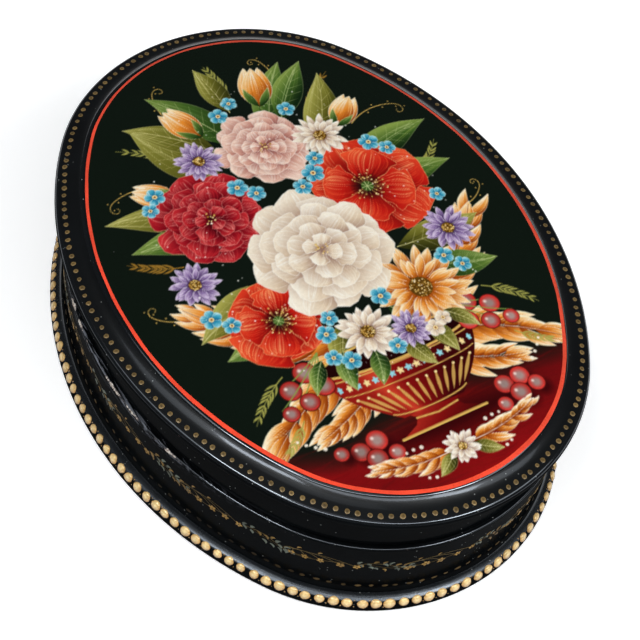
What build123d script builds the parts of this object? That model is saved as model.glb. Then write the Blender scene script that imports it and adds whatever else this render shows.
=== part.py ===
from build123d import *
import math
import os

# An oval lacquer box of pressed and wound paper board with a lid hinged along the back.
# Millimetres. Origin on the table under the middle of the box, +Z up, X along the box.
# The hinge is on the +Y side and the side that opens is -Y.

# Body wall in plan: an oval of four arcs, measured over the outside
wall_length = 132.4
wall_width = 100.4
wall_end_radius = 42.7

# Base board: a round nose at the table and a bevel above it, which carries the beads
base_thickness = 3.9
base_spread = 3.1
base_nose_round = 1.2
base_bevel_tilt = 55.0

# Body wall
seam_height = 21.7
seam_gap = 0.1
wall_thickness = 4.5
wall_edge_round = 0.5
flare_radius = 2.3
flare_turn = 68.0
flare_lip = 0.3

# Liner, whose top stands above the seam as a collar for the lid
liner_thickness = 1.5
liner_rise = 3.0
liner_edge_bevel = 0.5
glue_gap = 0.05

# Lid wall
lid_wall_height = 11.0
ledge_width = 1.0
lid_clearance = 0.25

# Lid board: rim edge, sloping border, cove and the raised field with its low crown
rim_overhang = 2.6
rim_edge_height = 0.95
rim_bottom_round = 0.7
rim_top_round = 1.1
border_width = 2.0
border_tilt = 9.0
cove_width = 2.3
cove_tilt = 32.0
field_step = 0.35
field_edge_round = 0.25
field_crown = 0.8
crown_margin = 0.8

# Hinge
hinge_length = 16.0
knuckle_count = 5
knuckle_radius = 1.1
knuckle_gap = 0.12
pin_radius = 0.55
pin_clearance = 0.04
leaf_thickness = 0.6
leaf_height = 8.0
hinge_clearance = 0.2
axis_clearance = 0.1
rivet_radius = 0.5
rivet_clearance = 0.02
rivet_spacing = 9.0
rivet_distance = 5.2
rivet_bite = 0.35
rivet_head_radius = 0.95
rivet_head_height = 0.4

# The four arcs: end arcs of the stated radius and side arcs tangent to them
half_length = wall_length / 2
half_width = wall_width / 2
end_centre = half_length - wall_end_radius
side_radius = (end_centre**2 + half_width**2 - wall_end_radius**2) / (2 * (half_width - wall_end_radius))
side_centre = half_width - side_radius
side_half_angle = math.degrees(math.atan2(end_centre, -side_centre))
end_half_angle = 90 - side_half_angle
ARCS = [
    ((end_centre, 0), wall_end_radius, -end_half_angle, 2 * end_half_angle),
    ((0, side_centre), side_radius, end_half_angle, 2 * side_half_angle),
    ((-end_centre, 0), wall_end_radius, 180 - end_half_angle, 2 * end_half_angle),
    ((0, -side_centre), side_radius, 180 + end_half_angle, 2 * side_half_angle),
]

# Offsets from the outside of the body wall, outwards positive
wall_inside = -wall_thickness
liner_outside = wall_inside - glue_gap
liner_inside = liner_outside - liner_thickness
lid_wall_outside = -ledge_width
lid_wall_inside = wall_inside + lid_clearance
rim_edge = lid_wall_outside + rim_overhang
border_outside = rim_edge - rim_top_round * (1 - math.sin(math.radians(border_tilt)))
cove_outside = border_outside - border_width
field_edge = cove_outside - cove_width

# Heights
wall_top = seam_height - seam_gap / 2
lid_bottom = seam_height + seam_gap / 2
board_bottom = lid_bottom + lid_wall_height
rim_middle = board_bottom + rim_edge_height
border_low = rim_middle + rim_top_round * math.cos(math.radians(border_tilt))
border_high = border_low + border_width * math.tan(math.radians(border_tilt))
cove_radius = cove_width / (math.sin(math.radians(cove_tilt)) - math.sin(math.radians(border_tilt)))
cove_rise = cove_radius * (math.cos(math.radians(border_tilt)) - math.cos(math.radians(cove_tilt)))
field_foot = border_high + cove_rise
field_height = field_foot + field_step

# Hinge axis: along X at the seam, just outside the lid wall at the ends of the hinge notch
notch_half_length = hinge_length / 2 + hinge_clearance
notch_reach = knuckle_radius + hinge_clearance
lid_wall_radius = side_radius + lid_wall_outside
axis_y = side_centre + math.sqrt(lid_wall_radius**2 - notch_half_length**2) + axis_clearance
axis_z = seam_height
leaf_inside = axis_y - knuckle_radius
leaf_outside = leaf_inside + leaf_thickness
knuckle_pitch = hinge_length / knuckle_count
bore_radius = pin_radius + pin_clearance


def oval(offset):
    """The oval's face at an offset from the outside of the body wall."""
    outline = [CenterArc(centre, radius + offset, start, sweep) for centre, radius, start, sweep in ARCS]
    return make_face(outline)


def oval_plate(offset, bottom, top):
    """A flat oval plate between two heights."""
    return Pos(0, 0, bottom) * extrude(oval(offset), amount=top - bottom)


def oval_ring(section):
    """Carry a section, drawn as offset and height, round the four arcs."""
    ring = Part()
    for centre, radius, start, sweep in ARCS:
        upright = Plane.XZ * Pos(radius, 0) * section
        ring += Pos(*centre) * Rot(0, 0, start) * revolve(upright, Axis.Z, sweep)
    return ring


def along_x(radius, start, end):
    """A cylinder on the hinge axis from one X to another."""
    return Pos(start, axis_y, axis_z) * extrude(Plane.YZ * Circle(radius), amount=end - start)


def block(low, high):
    """A box between two corners."""
    size = [b - a for a, b in zip(low, high)]
    return Pos(*low) * Box(*size, align=(Align.MIN, Align.MIN, Align.MIN))


def base_board():
    tilt = math.radians(base_bevel_tilt)
    nose_centre = base_spread - base_nose_round
    nose_middle = math.radians(-base_bevel_tilt / 2)
    bevel_low = (
        nose_centre + base_nose_round * math.sin(tilt),
        base_nose_round * (1 + math.cos(tilt)),
    )
    bevel_high = bevel_low[0] - (base_thickness - bevel_low[1]) / math.tan(tilt)
    outline = [
        Polyline(
            bevel_low,
            (bevel_high, base_thickness),
            (wall_inside, base_thickness),
            (wall_inside, 0),
            (nose_centre, 0),
        ),
        ThreePointArc(
            (nose_centre, 0),
            (
                nose_centre + base_nose_round * math.cos(nose_middle),
                base_nose_round * (1 + math.sin(nose_middle)),
            ),
            bevel_low,
        ),
    ]
    return oval_ring(make_face(outline)) + oval_plate(wall_inside, 0, base_thickness)


def hinge_notch(bottom, top):
    """The room that a wall leaves for the knuckles."""
    return block(
        (-notch_half_length, axis_y - notch_reach, bottom),
        (notch_half_length, half_width + base_spread, top),
    )


def leaf_slot(bottom, top):
    """The slot in a wall that takes a hinge leaf."""
    return block((-hinge_length / 2, leaf_inside, bottom), (hinge_length / 2, leaf_outside, top))


def square_to_wall(inside, height, solid):
    """Place copies of a solid, drawn along +Z from 0, square to the back wall from its inner face."""
    wall_radius = side_radius + inside
    turn = math.degrees(math.asin(rivet_spacing / 2 / wall_radius))
    copies = []
    for side in (-turn, turn):
        place = Pos(0, side_centre, height) * Rot(0, 0, side) * Pos(0, wall_radius, 0) * Rot(-90, 0, 0)
        copies.append(place * solid)
    return copies


def rivet_length(inside):
    """From a wall's inner face to a little past the leaf."""
    return leaf_outside + rivet_bite - side_centre - side_radius - inside


def rivet_holes(inside, height):
    length = rivet_length(inside)
    hole = extrude(Circle(rivet_radius + rivet_clearance), amount=length, both=True)
    return Part() + square_to_wall(inside, height, hole)


def body_wall():
    lip_top = base_thickness + flare_lip
    turn = math.radians(flare_turn)
    flare_spread = flare_radius * (1 - math.cos(turn))
    flare_top = lip_top + flare_radius * math.sin(turn)
    halfway = turn / 2
    flare_middle = (
        flare_radius * (1 - math.cos(halfway)),
        flare_top - flare_radius * math.sin(halfway),
    )
    outline = [
        Polyline(
            (flare_spread, lip_top),
            (flare_spread, base_thickness),
            (wall_inside, base_thickness),
            (wall_inside, wall_top),
            (0, wall_top),
            (0, flare_top),
        ),
        ThreePointArc((0, flare_top), flare_middle, (flare_spread, lip_top)),
    ]
    section = make_face(outline)
    corner = section.vertices().sort_by_distance((0, wall_top))[0]
    wall = oval_ring(fillet(corner, wall_edge_round))
    wall -= hinge_notch(axis_z - notch_reach, seam_height)
    wall -= leaf_slot(axis_z - leaf_height, seam_height)
    return wall - rivet_holes(wall_inside, axis_z - rivet_distance)


def body_liner():
    width = liner_outside - liner_inside
    height = seam_height + liner_rise - base_thickness
    low_corner = (Align.MIN, Align.MIN)
    section = Pos(liner_inside, base_thickness) * Rectangle(width, height, align=low_corner)
    corner = section.vertices().sort_by_distance((liner_outside, seam_height + liner_rise))[0]
    return oval_ring(chamfer(corner, liner_edge_bevel))


def lid_wall():
    width = lid_wall_outside - lid_wall_inside
    low_corner = (Align.MIN, Align.MIN)
    section = Pos(lid_wall_inside, lid_bottom) * Rectangle(width, lid_wall_height, align=low_corner)
    wall = oval_ring(section)
    wall -= hinge_notch(seam_height, axis_z + notch_reach)
    wall -= leaf_slot(seam_height, axis_z + leaf_height)
    return wall - rivet_holes(lid_wall_inside, axis_z + rivet_distance)


def tilted_arc(outside, height, radius, tilt, sign):
    """The point of a moulding's arc where its surface tilts outwards, from the arc's level point."""
    angle = math.radians(tilt)
    return (outside + sign * radius * math.sin(angle), height - sign * radius * (1 - math.cos(angle)))


def lid_board():
    core_edge = field_edge - field_edge_round - crown_margin
    rim_centre = rim_edge - rim_top_round
    cove_centre = cove_outside + cove_radius * math.sin(math.radians(border_tilt))
    cove_floor = border_high - cove_radius * (1 - math.cos(math.radians(border_tilt)))
    rim_crest = rim_middle + rim_top_round
    middle_tilt = (90 + border_tilt) / 2
    cove_middle = tilted_arc(cove_centre, cove_floor, cove_radius, (cove_tilt + border_tilt) / 2, -1)
    outline = [
        Polyline(
            (field_edge, field_foot),
            (field_edge, field_height),
            (core_edge, field_height),
            (core_edge, board_bottom),
            (rim_edge, board_bottom),
            (rim_edge, rim_middle),
        ),
        ThreePointArc(
            (rim_edge, rim_middle),
            tilted_arc(rim_centre, rim_crest, rim_top_round, middle_tilt, 1),
            (border_outside, border_low),
        ),
        Line((border_outside, border_low), (cove_outside, border_high)),
        ThreePointArc((cove_outside, border_high), cove_middle, (field_edge, field_foot)),
    ]
    section = make_face(outline)
    rim_corner = section.vertices().sort_by_distance((rim_edge, board_bottom))[0]
    section = fillet(rim_corner, rim_bottom_round)
    field_corner = section.vertices().sort_by_distance((field_edge, field_height))[0]
    section = fillet(field_corner, field_edge_round)
    board = oval_ring(section) + oval_plate(core_edge, board_bottom, field_height)
    return board + crown(core_edge)


def crown(edge):
    """The low dome of the field: the top of a flat ellipsoid, cut off level with the field's edge."""
    reach = 4
    depth = field_crown / (1 - math.sqrt(1 - 1 / reach**2))
    semi_axes = (reach * (half_length + edge), reach * (half_width + edge), depth)
    dome = Pos(0, 0, field_height + field_crown - depth) * scale(Sphere(1), by=semi_axes)
    room = oval_plate(edge, field_height, field_height + 2 * field_crown)
    return dome & room


def hinge_leaf(direction, knuckles):
    """A leaf with every second knuckle, standing down (-1) or up (1) from the hinge axis."""
    ends = sorted((axis_z, axis_z + direction * leaf_height))
    leaf = leaf_slot(*ends)
    for index in range(knuckle_count):
        start = -hinge_length / 2 + index * knuckle_pitch
        end = start + knuckle_pitch
        if index in knuckles:
            gap_before = knuckle_gap / 2 if index > 0 else 0
            gap_after = knuckle_gap / 2 if index < knuckle_count - 1 else 0
            leaf += along_x(knuckle_radius, start + gap_before, end - gap_after)
    for index in range(knuckle_count):
        start = -hinge_length / 2 + index * knuckle_pitch
        end = start + knuckle_pitch
        if index not in knuckles:
            leaf -= along_x(notch_reach, start - knuckle_gap / 2, end + knuckle_gap / 2)
    return leaf - along_x(bore_radius, -hinge_length, hinge_length)


def hinge_leaf_body():
    leaf = hinge_leaf(-1, range(0, knuckle_count, 2))
    return leaf - rivet_holes(wall_inside, axis_z - rivet_distance)


def hinge_leaf_lid():
    leaf = hinge_leaf(1, range(1, knuckle_count, 2))
    return leaf - rivet_holes(lid_wall_inside, axis_z + rivet_distance)


def hinge_pin():
    return along_x(pin_radius, -hinge_length / 2, hinge_length / 2)


def hinge_rivets_body():
    """Headless rivets, flush with the wall and covered by the liner."""
    start = Pos(0, 0, rivet_clearance)
    length = rivet_length(wall_inside) - 2 * rivet_clearance
    rivet = start * extrude(Circle(rivet_radius), amount=length)
    return Compound(children=square_to_wall(wall_inside, axis_z - rivet_distance, rivet))


def hinge_rivets_lid():
    """Rivets with a low head, which shows inside the open lid."""
    length = rivet_length(lid_wall_inside) - rivet_clearance
    shank = extrude(Circle(rivet_radius), amount=length)
    head = Pos(0, 0, -rivet_clearance) * extrude(Circle(rivet_head_radius), amount=-rivet_head_height)
    head = fillet(head.edges().group_by(Axis.Z)[0], rivet_head_height / 2)
    neck = extrude(Circle(rivet_radius), amount=-rivet_head_height / 2)
    rivet = shank + neck + head
    return Compound(children=square_to_wall(lid_wall_inside, axis_z + rivet_distance, rivet))


PIECES = [
    base_board,
    body_wall,
    body_liner,
    lid_wall,
    lid_board,
    hinge_leaf_body,
    hinge_leaf_lid,
    hinge_pin,
    hinge_rivets_body,
    hinge_rivets_lid,
]

os.makedirs("parts", exist_ok=True)
for piece in PIECES:
    export_step(piece(), f"parts/{piece.__name__}.step")
print(f"hinge axis at y {axis_y:.3f}, z {axis_z:.3f}; field edge at {field_edge:.3f}, {field_height:.3f}")
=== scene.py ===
import math

import bpy
import numpy as np
from mathutils import Matrix, Vector


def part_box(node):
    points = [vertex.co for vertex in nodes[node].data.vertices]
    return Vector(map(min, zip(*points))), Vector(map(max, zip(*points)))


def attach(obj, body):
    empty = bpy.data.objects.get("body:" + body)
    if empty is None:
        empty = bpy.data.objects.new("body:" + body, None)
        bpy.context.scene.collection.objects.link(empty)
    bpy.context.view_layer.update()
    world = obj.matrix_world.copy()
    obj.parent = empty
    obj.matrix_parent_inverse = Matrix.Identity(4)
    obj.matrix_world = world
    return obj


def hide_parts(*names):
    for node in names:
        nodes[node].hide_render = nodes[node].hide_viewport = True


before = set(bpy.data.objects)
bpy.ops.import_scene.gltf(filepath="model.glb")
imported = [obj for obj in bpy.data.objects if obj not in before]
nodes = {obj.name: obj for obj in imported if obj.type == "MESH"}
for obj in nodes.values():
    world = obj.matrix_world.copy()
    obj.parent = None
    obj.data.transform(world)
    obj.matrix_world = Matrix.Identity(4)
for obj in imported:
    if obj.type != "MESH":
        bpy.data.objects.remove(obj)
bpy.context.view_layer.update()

# Sizes in millimetres, as in the part's source, with a finer foot: a bead band under a sloping ledge
MM = 0.001
BASE_SPREAD = 3.1
BASE_NOSE = 1.2
BASE_BEVEL = math.radians(64.0)
LEDGE_HEIGHT = 3.3
LEDGE_ROUND = 0.5
LEDGE_TILT = math.radians(26.0)
LEDGE_BOW = math.radians(7.0)
END_RADIUS = 42.7
WALL_EDGE_ROUND = 0.5
SEAM_BAND = 1.2
UNDER_LID = 0.2
FLARE_RADIUS = 2.6
FLARE_TURN = math.radians(60.0)
LINER_THICKNESS = 1.5
LINER_BEVEL = 0.5
LINER_ROUND = 0.25
GLUE_GAP = 0.05
LID_CLEARANCE = 0.25
LID_ROUND = 0.2
RIM_EDGE_HEIGHT = 0.95
RIM_BOTTOM_ROUND = 0.7
RIM_TOP_ROUND = 1.1
BORDER_WIDTH = 2.0
BORDER_TILT = math.radians(9.0)
COVE_WIDTH = 2.3
COVE_TILT = math.radians(32.0)
FIELD_STEP = 0.35
FIELD_EDGE_ROUND = 0.25
STEP_BEND = 1.2
STEP_FIRST = math.radians(50.0)
STEP_LAST = math.radians(82.0)
FIELD_CROWN = 0.8
CROWN_MARGIN = 0.8
CROWN_REACH = 4.0
LINE_INSET = 4.65
HINGE_REACH = 1.3
HINGE_CLEARANCE = 0.2
UNDER_WALL = 0.1
UNDER_LINER = 0.4
CEILING_EDGE = 0.6
NEAR = 0.01
QUARTER = math.pi / 2

# Steps round the oval
BASE_STEPS = 480
WALL_STEPS = 1200
LID_STEPS = 720

# Degrees: slopes that take the dull finish, and the turn at which shading breaks
STEEP = 58.0
WALL_STEEP = 50.0
RIM_ROUND = 15.0
SHARP = 35.0


def box_mm(node):
    """A CAD node's lowest and highest corner, in millimetres."""
    low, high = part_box(node)
    return np.array(low) / MM, np.array(high) / MM


base_high = box_mm("base_board")[1]
liner_high = box_mm("body_liner")[1]
lid_low, lid_high = box_mm("lid_wall")
board_low, board_high = box_mm("lid_board")

HALF_LENGTH = base_high[0] - BASE_SPREAD
HALF_WIDTH = base_high[1] - BASE_SPREAD
BASE_TOP = base_high[2]
WALL_TOP = box_mm("body_wall")[1][2]
LINER_TOP = liner_high[2]
LINER_OUTSIDE = liner_high[0] - HALF_LENGTH
LINER_INSIDE = LINER_OUTSIDE - LINER_THICKNESS
WALL_INSIDE = LINER_OUTSIDE + GLUE_GAP
LID_BOTTOM = lid_low[2]
LID_OUTSIDE = lid_high[0] - HALF_LENGTH
LID_INSIDE = WALL_INSIDE + LID_CLEARANCE
BOARD_BOTTOM = board_low[2]
RIM_EDGE = board_high[0] - HALF_LENGTH

# The oval of four arcs, followed by distance along the outside of the body wall from the +X end
END_CENTRE = HALF_LENGTH - END_RADIUS
SIDE_RADIUS = (END_CENTRE**2 + HALF_WIDTH**2 - END_RADIUS**2) / (2 * (HALF_WIDTH - END_RADIUS))
SIDE_CENTRE = HALF_WIDTH - SIDE_RADIUS
SIDE_HALF = math.atan2(END_CENTRE, -SIDE_CENTRE)
END_HALF = QUARTER - SIDE_HALF
ARCS = [
    (END_CENTRE, 0.0, END_RADIUS, 0.0, END_HALF),
    (0.0, SIDE_CENTRE, SIDE_RADIUS, END_HALF, 2 * SIDE_HALF),
    (-END_CENTRE, 0.0, END_RADIUS, math.pi - END_HALF, 2 * END_HALF),
    (0.0, -SIDE_CENTRE, SIDE_RADIUS, math.pi + END_HALF, 2 * SIDE_HALF),
    (END_CENTRE, 0.0, END_RADIUS, -END_HALF, END_HALF),
]
AROUND = sum(radius * turn for _, _, radius, _, turn in ARCS)


def wall_line(s):
    """Points (n, 2) on the outside of the body wall and their outward normals, at distances s."""
    s = np.mod(np.atleast_1d(np.asarray(s, float)), AROUND)
    angle = np.zeros_like(s)
    centre = np.zeros((len(s), 2))
    radius = np.zeros_like(s)
    start = 0.0
    for cx, cy, r, first, turn in ARCS:
        inside = s >= start - 1e-9
        angle[inside] = first + (s[inside] - start) / r
        centre[inside] = (cx, cy)
        radius[inside] = r
        start += r * turn
    normal = np.stack([np.cos(angle), np.sin(angle)], axis=1)
    return centre + radius[:, None] * normal, normal


def oval_offset(x, y):
    """How far points lie outside the body wall's oval, negative inside it."""
    x = np.abs(x)
    y = np.abs(y)
    at_end = np.arctan2(y, x - END_CENTRE) < END_HALF
    end = np.hypot(x - END_CENTRE, y) - END_RADIUS
    side = np.hypot(x, y - SIDE_CENTRE) - SIDE_RADIUS
    return np.where(at_end & (x > END_CENTRE), end, side)


def arc(centre_w, centre_z, radius, first, last, count):
    """Points of an arc in a section, angles in radians from the outward direction."""
    angles = np.linspace(first, last, count)
    return [(centre_w + radius * math.cos(a), centre_z + radius * math.sin(a)) for a in angles]


def straight(first, last, count):
    """Points along a line in a section, both ends included."""
    first = np.array(first)
    last = np.array(last)
    return [tuple(first + (last - first) * t) for t in np.linspace(0, 1, count)]


def merge(*runs):
    """Join runs of section points and drop points that repeat."""
    points = []
    for run in runs:
        for p in run:
            if not points or math.dist(p, points[-1]) > 1e-6:
                points.append(p)
    return points


# Sections as (offset from the wall's outside, height)
nose_spread = BASE_NOSE * (1 - math.sin(BASE_BEVEL))
bevel_low = (BASE_SPREAD - nose_spread, BASE_NOSE * (1 + math.cos(BASE_BEVEL)))
ledge_edge = bevel_low[0] - (LEDGE_HEIGHT - bevel_low[1]) / math.tan(BASE_BEVEL)
flare_spread = FLARE_RADIUS * (1 - math.cos(FLARE_TURN))
ledge_width = ledge_edge - flare_spread
ledge_rise = ledge_width * math.tan(LEDGE_TILT)
flare_top = LEDGE_HEIGHT + ledge_rise + FLARE_RADIUS * math.sin(FLARE_TURN)
joint_turn = math.asin((flare_top - BASE_TOP) / FLARE_RADIUS)
joint_spread = FLARE_RADIUS * (1 - math.cos(joint_turn))
ledge_tilt = LEDGE_TILT - LEDGE_BOW
ledge_sag = math.hypot(ledge_rise, ledge_width) * math.tan(LEDGE_BOW) / 4
round_cut = LEDGE_ROUND * math.tan((BASE_BEVEL - ledge_tilt) / 2)
round_low = (
    ledge_edge + round_cut * math.cos(BASE_BEVEL),
    LEDGE_HEIGHT - round_cut * math.sin(BASE_BEVEL),
)
round_centre = (
    round_low[0] - LEDGE_ROUND * math.sin(BASE_BEVEL),
    round_low[1] - LEDGE_ROUND * math.cos(BASE_BEVEL),
)
ledge = []
for t in np.linspace(0.25, 1, 9):
    hollow = 4 * ledge_sag * t * (1 - t)
    ledge_w = ledge_edge - ledge_width * t - hollow * math.sin(ledge_tilt)
    ledge.append((ledge_w, LEDGE_HEIGHT + ledge_rise * t - hollow * math.cos(ledge_tilt)))
base_edge = merge(
    arc(BASE_SPREAD - BASE_NOSE, BASE_NOSE, BASE_NOSE, -QUARTER, QUARTER - BASE_BEVEL, 17),
    straight(bevel_low, round_low, 9),
    arc(*round_centre, LEDGE_ROUND, QUARTER - BASE_BEVEL, QUARTER - ledge_tilt, 7),
    ledge,
    arc(FLARE_RADIUS, flare_top, FLARE_RADIUS, math.pi + FLARE_TURN, math.pi + joint_turn, 5),
    [(joint_spread - UNDER_WALL, BASE_TOP)],
)
seam_low = WALL_TOP - WALL_EDGE_ROUND
wall_outside = merge(
    arc(FLARE_RADIUS, flare_top, FLARE_RADIUS, math.pi + joint_turn, math.pi, 17),
    straight((0, flare_top), (0, seam_low - SEAM_BAND), 12),
    straight((0, seam_low - SEAM_BAND), (0, seam_low), 5),
    arc(-WALL_EDGE_ROUND, seam_low, WALL_EDGE_ROUND, 0, QUARTER, 9),
    straight((-WALL_EDGE_ROUND, WALL_TOP), (LID_OUTSIDE - UNDER_LID, WALL_TOP), 4),
)
rim_middle = BOARD_BOTTOM + RIM_EDGE_HEIGHT
rim_low = BOARD_BOTTOM + RIM_BOTTOM_ROUND
border_outside = RIM_EDGE - RIM_TOP_ROUND * (1 - math.sin(BORDER_TILT))
border_low = rim_middle + RIM_TOP_ROUND * math.cos(BORDER_TILT)
border_inside = border_outside - BORDER_WIDTH
border_high = border_low + BORDER_WIDTH * math.tan(BORDER_TILT)
cove_radius = COVE_WIDTH / (math.sin(COVE_TILT) - math.sin(BORDER_TILT))
field_edge = border_inside - COVE_WIDTH
cove_w = border_inside + cove_radius * math.sin(BORDER_TILT)
cove_z = border_high + cove_radius * math.cos(BORDER_TILT)
field_foot = cove_z - cove_radius * math.cos(COVE_TILT)
FIELD = field_foot + FIELD_STEP
crown_edge = field_edge - FIELD_EDGE_ROUND - CROWN_MARGIN
step_centre = (field_edge - STEP_BEND * math.cos(STEP_FIRST), FIELD - STEP_BEND * math.sin(STEP_LAST))
step_round = arc(*step_centre, STEP_BEND, STEP_FIRST, STEP_LAST, 11)
board_rim = merge(
    arc(RIM_EDGE - RIM_BOTTOM_ROUND, rim_low, RIM_BOTTOM_ROUND, -QUARTER, 0, 9),
    straight((RIM_EDGE, rim_low), (RIM_EDGE, rim_middle), 2),
    arc(RIM_EDGE - RIM_TOP_ROUND, rim_middle, RIM_TOP_ROUND, 0, QUARTER - BORDER_TILT, 13),
    straight((border_outside, border_low), (border_inside, border_high), 7),
    arc(cove_w, cove_z, cove_radius, -QUARTER - BORDER_TILT, -QUARTER - COVE_TILT, 13),
    straight((field_edge, field_foot), step_round[0], 2),
    step_round,
    straight(step_round[-1], (crown_edge, FIELD), 3),
)


def field_top(x, y):
    """Height of the lid's crowned field."""
    depth = FIELD_CROWN / (1 - math.sqrt(1 - 1 / CROWN_REACH**2))
    along = x / (CROWN_REACH * (HALF_LENGTH + crown_edge))
    across = y / (CROWN_REACH * (HALF_WIDTH + crown_edge))
    dome = FIELD + FIELD_CROWN - depth + depth * np.sqrt(np.maximum(1 - along**2 - across**2, 0))
    return np.maximum(dome, FIELD)


# Meshes
def build_mesh(name, points, faces, materials, indices=None, colours=None, sharp=SHARP):
    """A mesh object from points in millimetres, with smooth shading that breaks at sharp edges."""
    mesh = bpy.data.meshes.new(name)
    mesh.from_pydata((np.asarray(points) * MM).tolist(), [], faces)
    for material in materials:
        mesh.materials.append(material)
    if indices is not None:
        mesh.polygons.foreach_set("material_index", np.asarray(indices, np.int32))
    if colours is not None:
        tint = mesh.color_attributes.new("tint", "FLOAT_COLOR", "POINT")
        flat = np.ones((len(points), 4))
        flat[:, :3] = colours
        tint.data.foreach_set("color", flat.ravel())
    mesh.shade_smooth()
    mesh.set_sharp_from_angle(angle=math.radians(sharp))
    mesh.update()
    piece = bpy.data.objects.new(name, mesh)
    bpy.context.scene.collection.objects.link(piece)
    return piece


def settle(piece, body, slot, *replaced):
    """Let a piece ride on a body and hide the CAD nodes it stands for; slot is not used."""
    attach(piece, body)
    if replaced:
        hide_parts(*replaced)
    return piece


def linear(colour):
    """Linear values of a colour written as 0 to 255."""
    c = np.asarray(colour, float) / 255.0
    return np.where(c <= 0.04045, c / 12.92, ((c + 0.055) / 1.055) ** 2.4)


def swept(section, count):
    """Points of a section carried round the oval, as (count, len(section), 3)."""
    line, normal = wall_line(np.linspace(0, AROUND, count, endpoint=False))
    offsets, heights = np.array(section).T
    plan = line[:, None, :] + normal[:, None, :] * offsets[None, :, None]
    levels = np.broadcast_to(heights[None, :, None], plan.shape[:2] + (1,))
    return np.concatenate([plan, levels], axis=2)


def ring_faces(count, rows, closed_rows, closed_round=True):
    """Quads of a section of rows carried on count times, and the row that each one starts from."""
    faces = []
    row_of = []
    for i in range(count if closed_round else count - 1):
        j = (i + 1) % count
        for k in range(rows if closed_rows else rows - 1):
            m = (k + 1) % rows
            faces.append((i * rows + k, j * rows + k, j * rows + m, i * rows + m))
            row_of.append(k)
    return faces, row_of


def tilt_rows(section):
    """How steep each step of a section stands, in degrees from level."""
    step = np.diff(np.array(section), axis=0, append=[section[0]])
    return np.degrees(np.abs(np.arctan2(step[:, 1], np.abs(step[:, 0]))))


def wall_ring(name, section, count, materials, row_finish):
    """A closed section carried round the oval, with a finish for each of its rows."""
    points = swept(section, count).reshape(-1, 3)
    faces, row_of = ring_faces(count, len(section), True)
    indices = [materials.index(row_finish[k]) for k in row_of]
    return build_mesh(name, points, faces, materials, indices)


SHRINK = (0.93, 0.86, 0.79, 0.72, 0.64, 0.56, 0.48, 0.4, 0.32, 0.24, 0.16, 0.08)


def board(name, section, count, materials, row_finish, top_height, bottom_split, top_split):
    """A plate with a moulded edge, closed below and above by rings that shrink to the middle.

    A split is a list of offsets; inside the last of them the plate takes the second material.
    """
    rows = len(section)
    rim = swept(section, count)
    points = rim.reshape(-1, 3).tolist()
    faces, row_of = ring_faces(count, rows, False)
    indices = [materials.index(row_finish[k]) for k in row_of]
    for row, split, height in ((0, bottom_split, None), (rows - 1, top_split, top_height)):
        level = section[row][1]
        loops = [swept([(w, level)], count)[:, 0, :] for w in split]
        outer = loops[-1] if loops else rim[:, row, :]
        loops += [outer * (t, t, 1) for t in SHRINK] + [np.array([(0.0, 0.0, level)])]
        last = [i * rows + row for i in range(count)]
        for depth, loop in enumerate(loops):
            if height is not None:
                loop[:, 2] = height(loop[:, 0], loop[:, 1])
            now = range(len(points), len(points) + len(loop))
            points.extend(loop.tolist())
            for i in range(count):
                j = (i + 1) % count
                onward = (now[j], now[i]) if len(now) > 1 else (now[0],)
                face = (last[i], last[j], *onward)
                faces.append(face if row else face[::-1])
                indices.append(1 if split and depth >= len(split) else 0)
            last = now
    return build_mesh(name, np.array(points), faces, materials, indices)


def cut_away(piece, low, high):
    """Take a block between two corners out of a piece."""
    corners = [(x, y, z) for z in (low[2], high[2]) for y in (low[1], high[1]) for x in (low[0], high[0])]
    sides = [(0, 2, 3, 1), (4, 5, 7, 6), (0, 1, 5, 4), (2, 6, 7, 3), (0, 4, 6, 2), (1, 3, 7, 5)]
    cutter = build_mesh("cutter", np.array(corners), sides, [piece.data.materials[0]])
    change = piece.modifiers.new("notch", "BOOLEAN")
    change.operation = "DIFFERENCE"
    change.solver = "EXACT"
    change.object = cutter
    depsgraph = bpy.context.evaluated_depsgraph_get()
    mesh = bpy.data.meshes.new_from_object(piece.evaluated_get(depsgraph))
    piece.modifiers.clear()
    old = piece.data
    piece.data = mesh
    mesh.name = piece.name
    bpy.data.meshes.remove(old)
    bpy.data.objects.remove(cutter)
    mesh.set_sharp_from_angle(angle=math.radians(SHARP))


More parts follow.
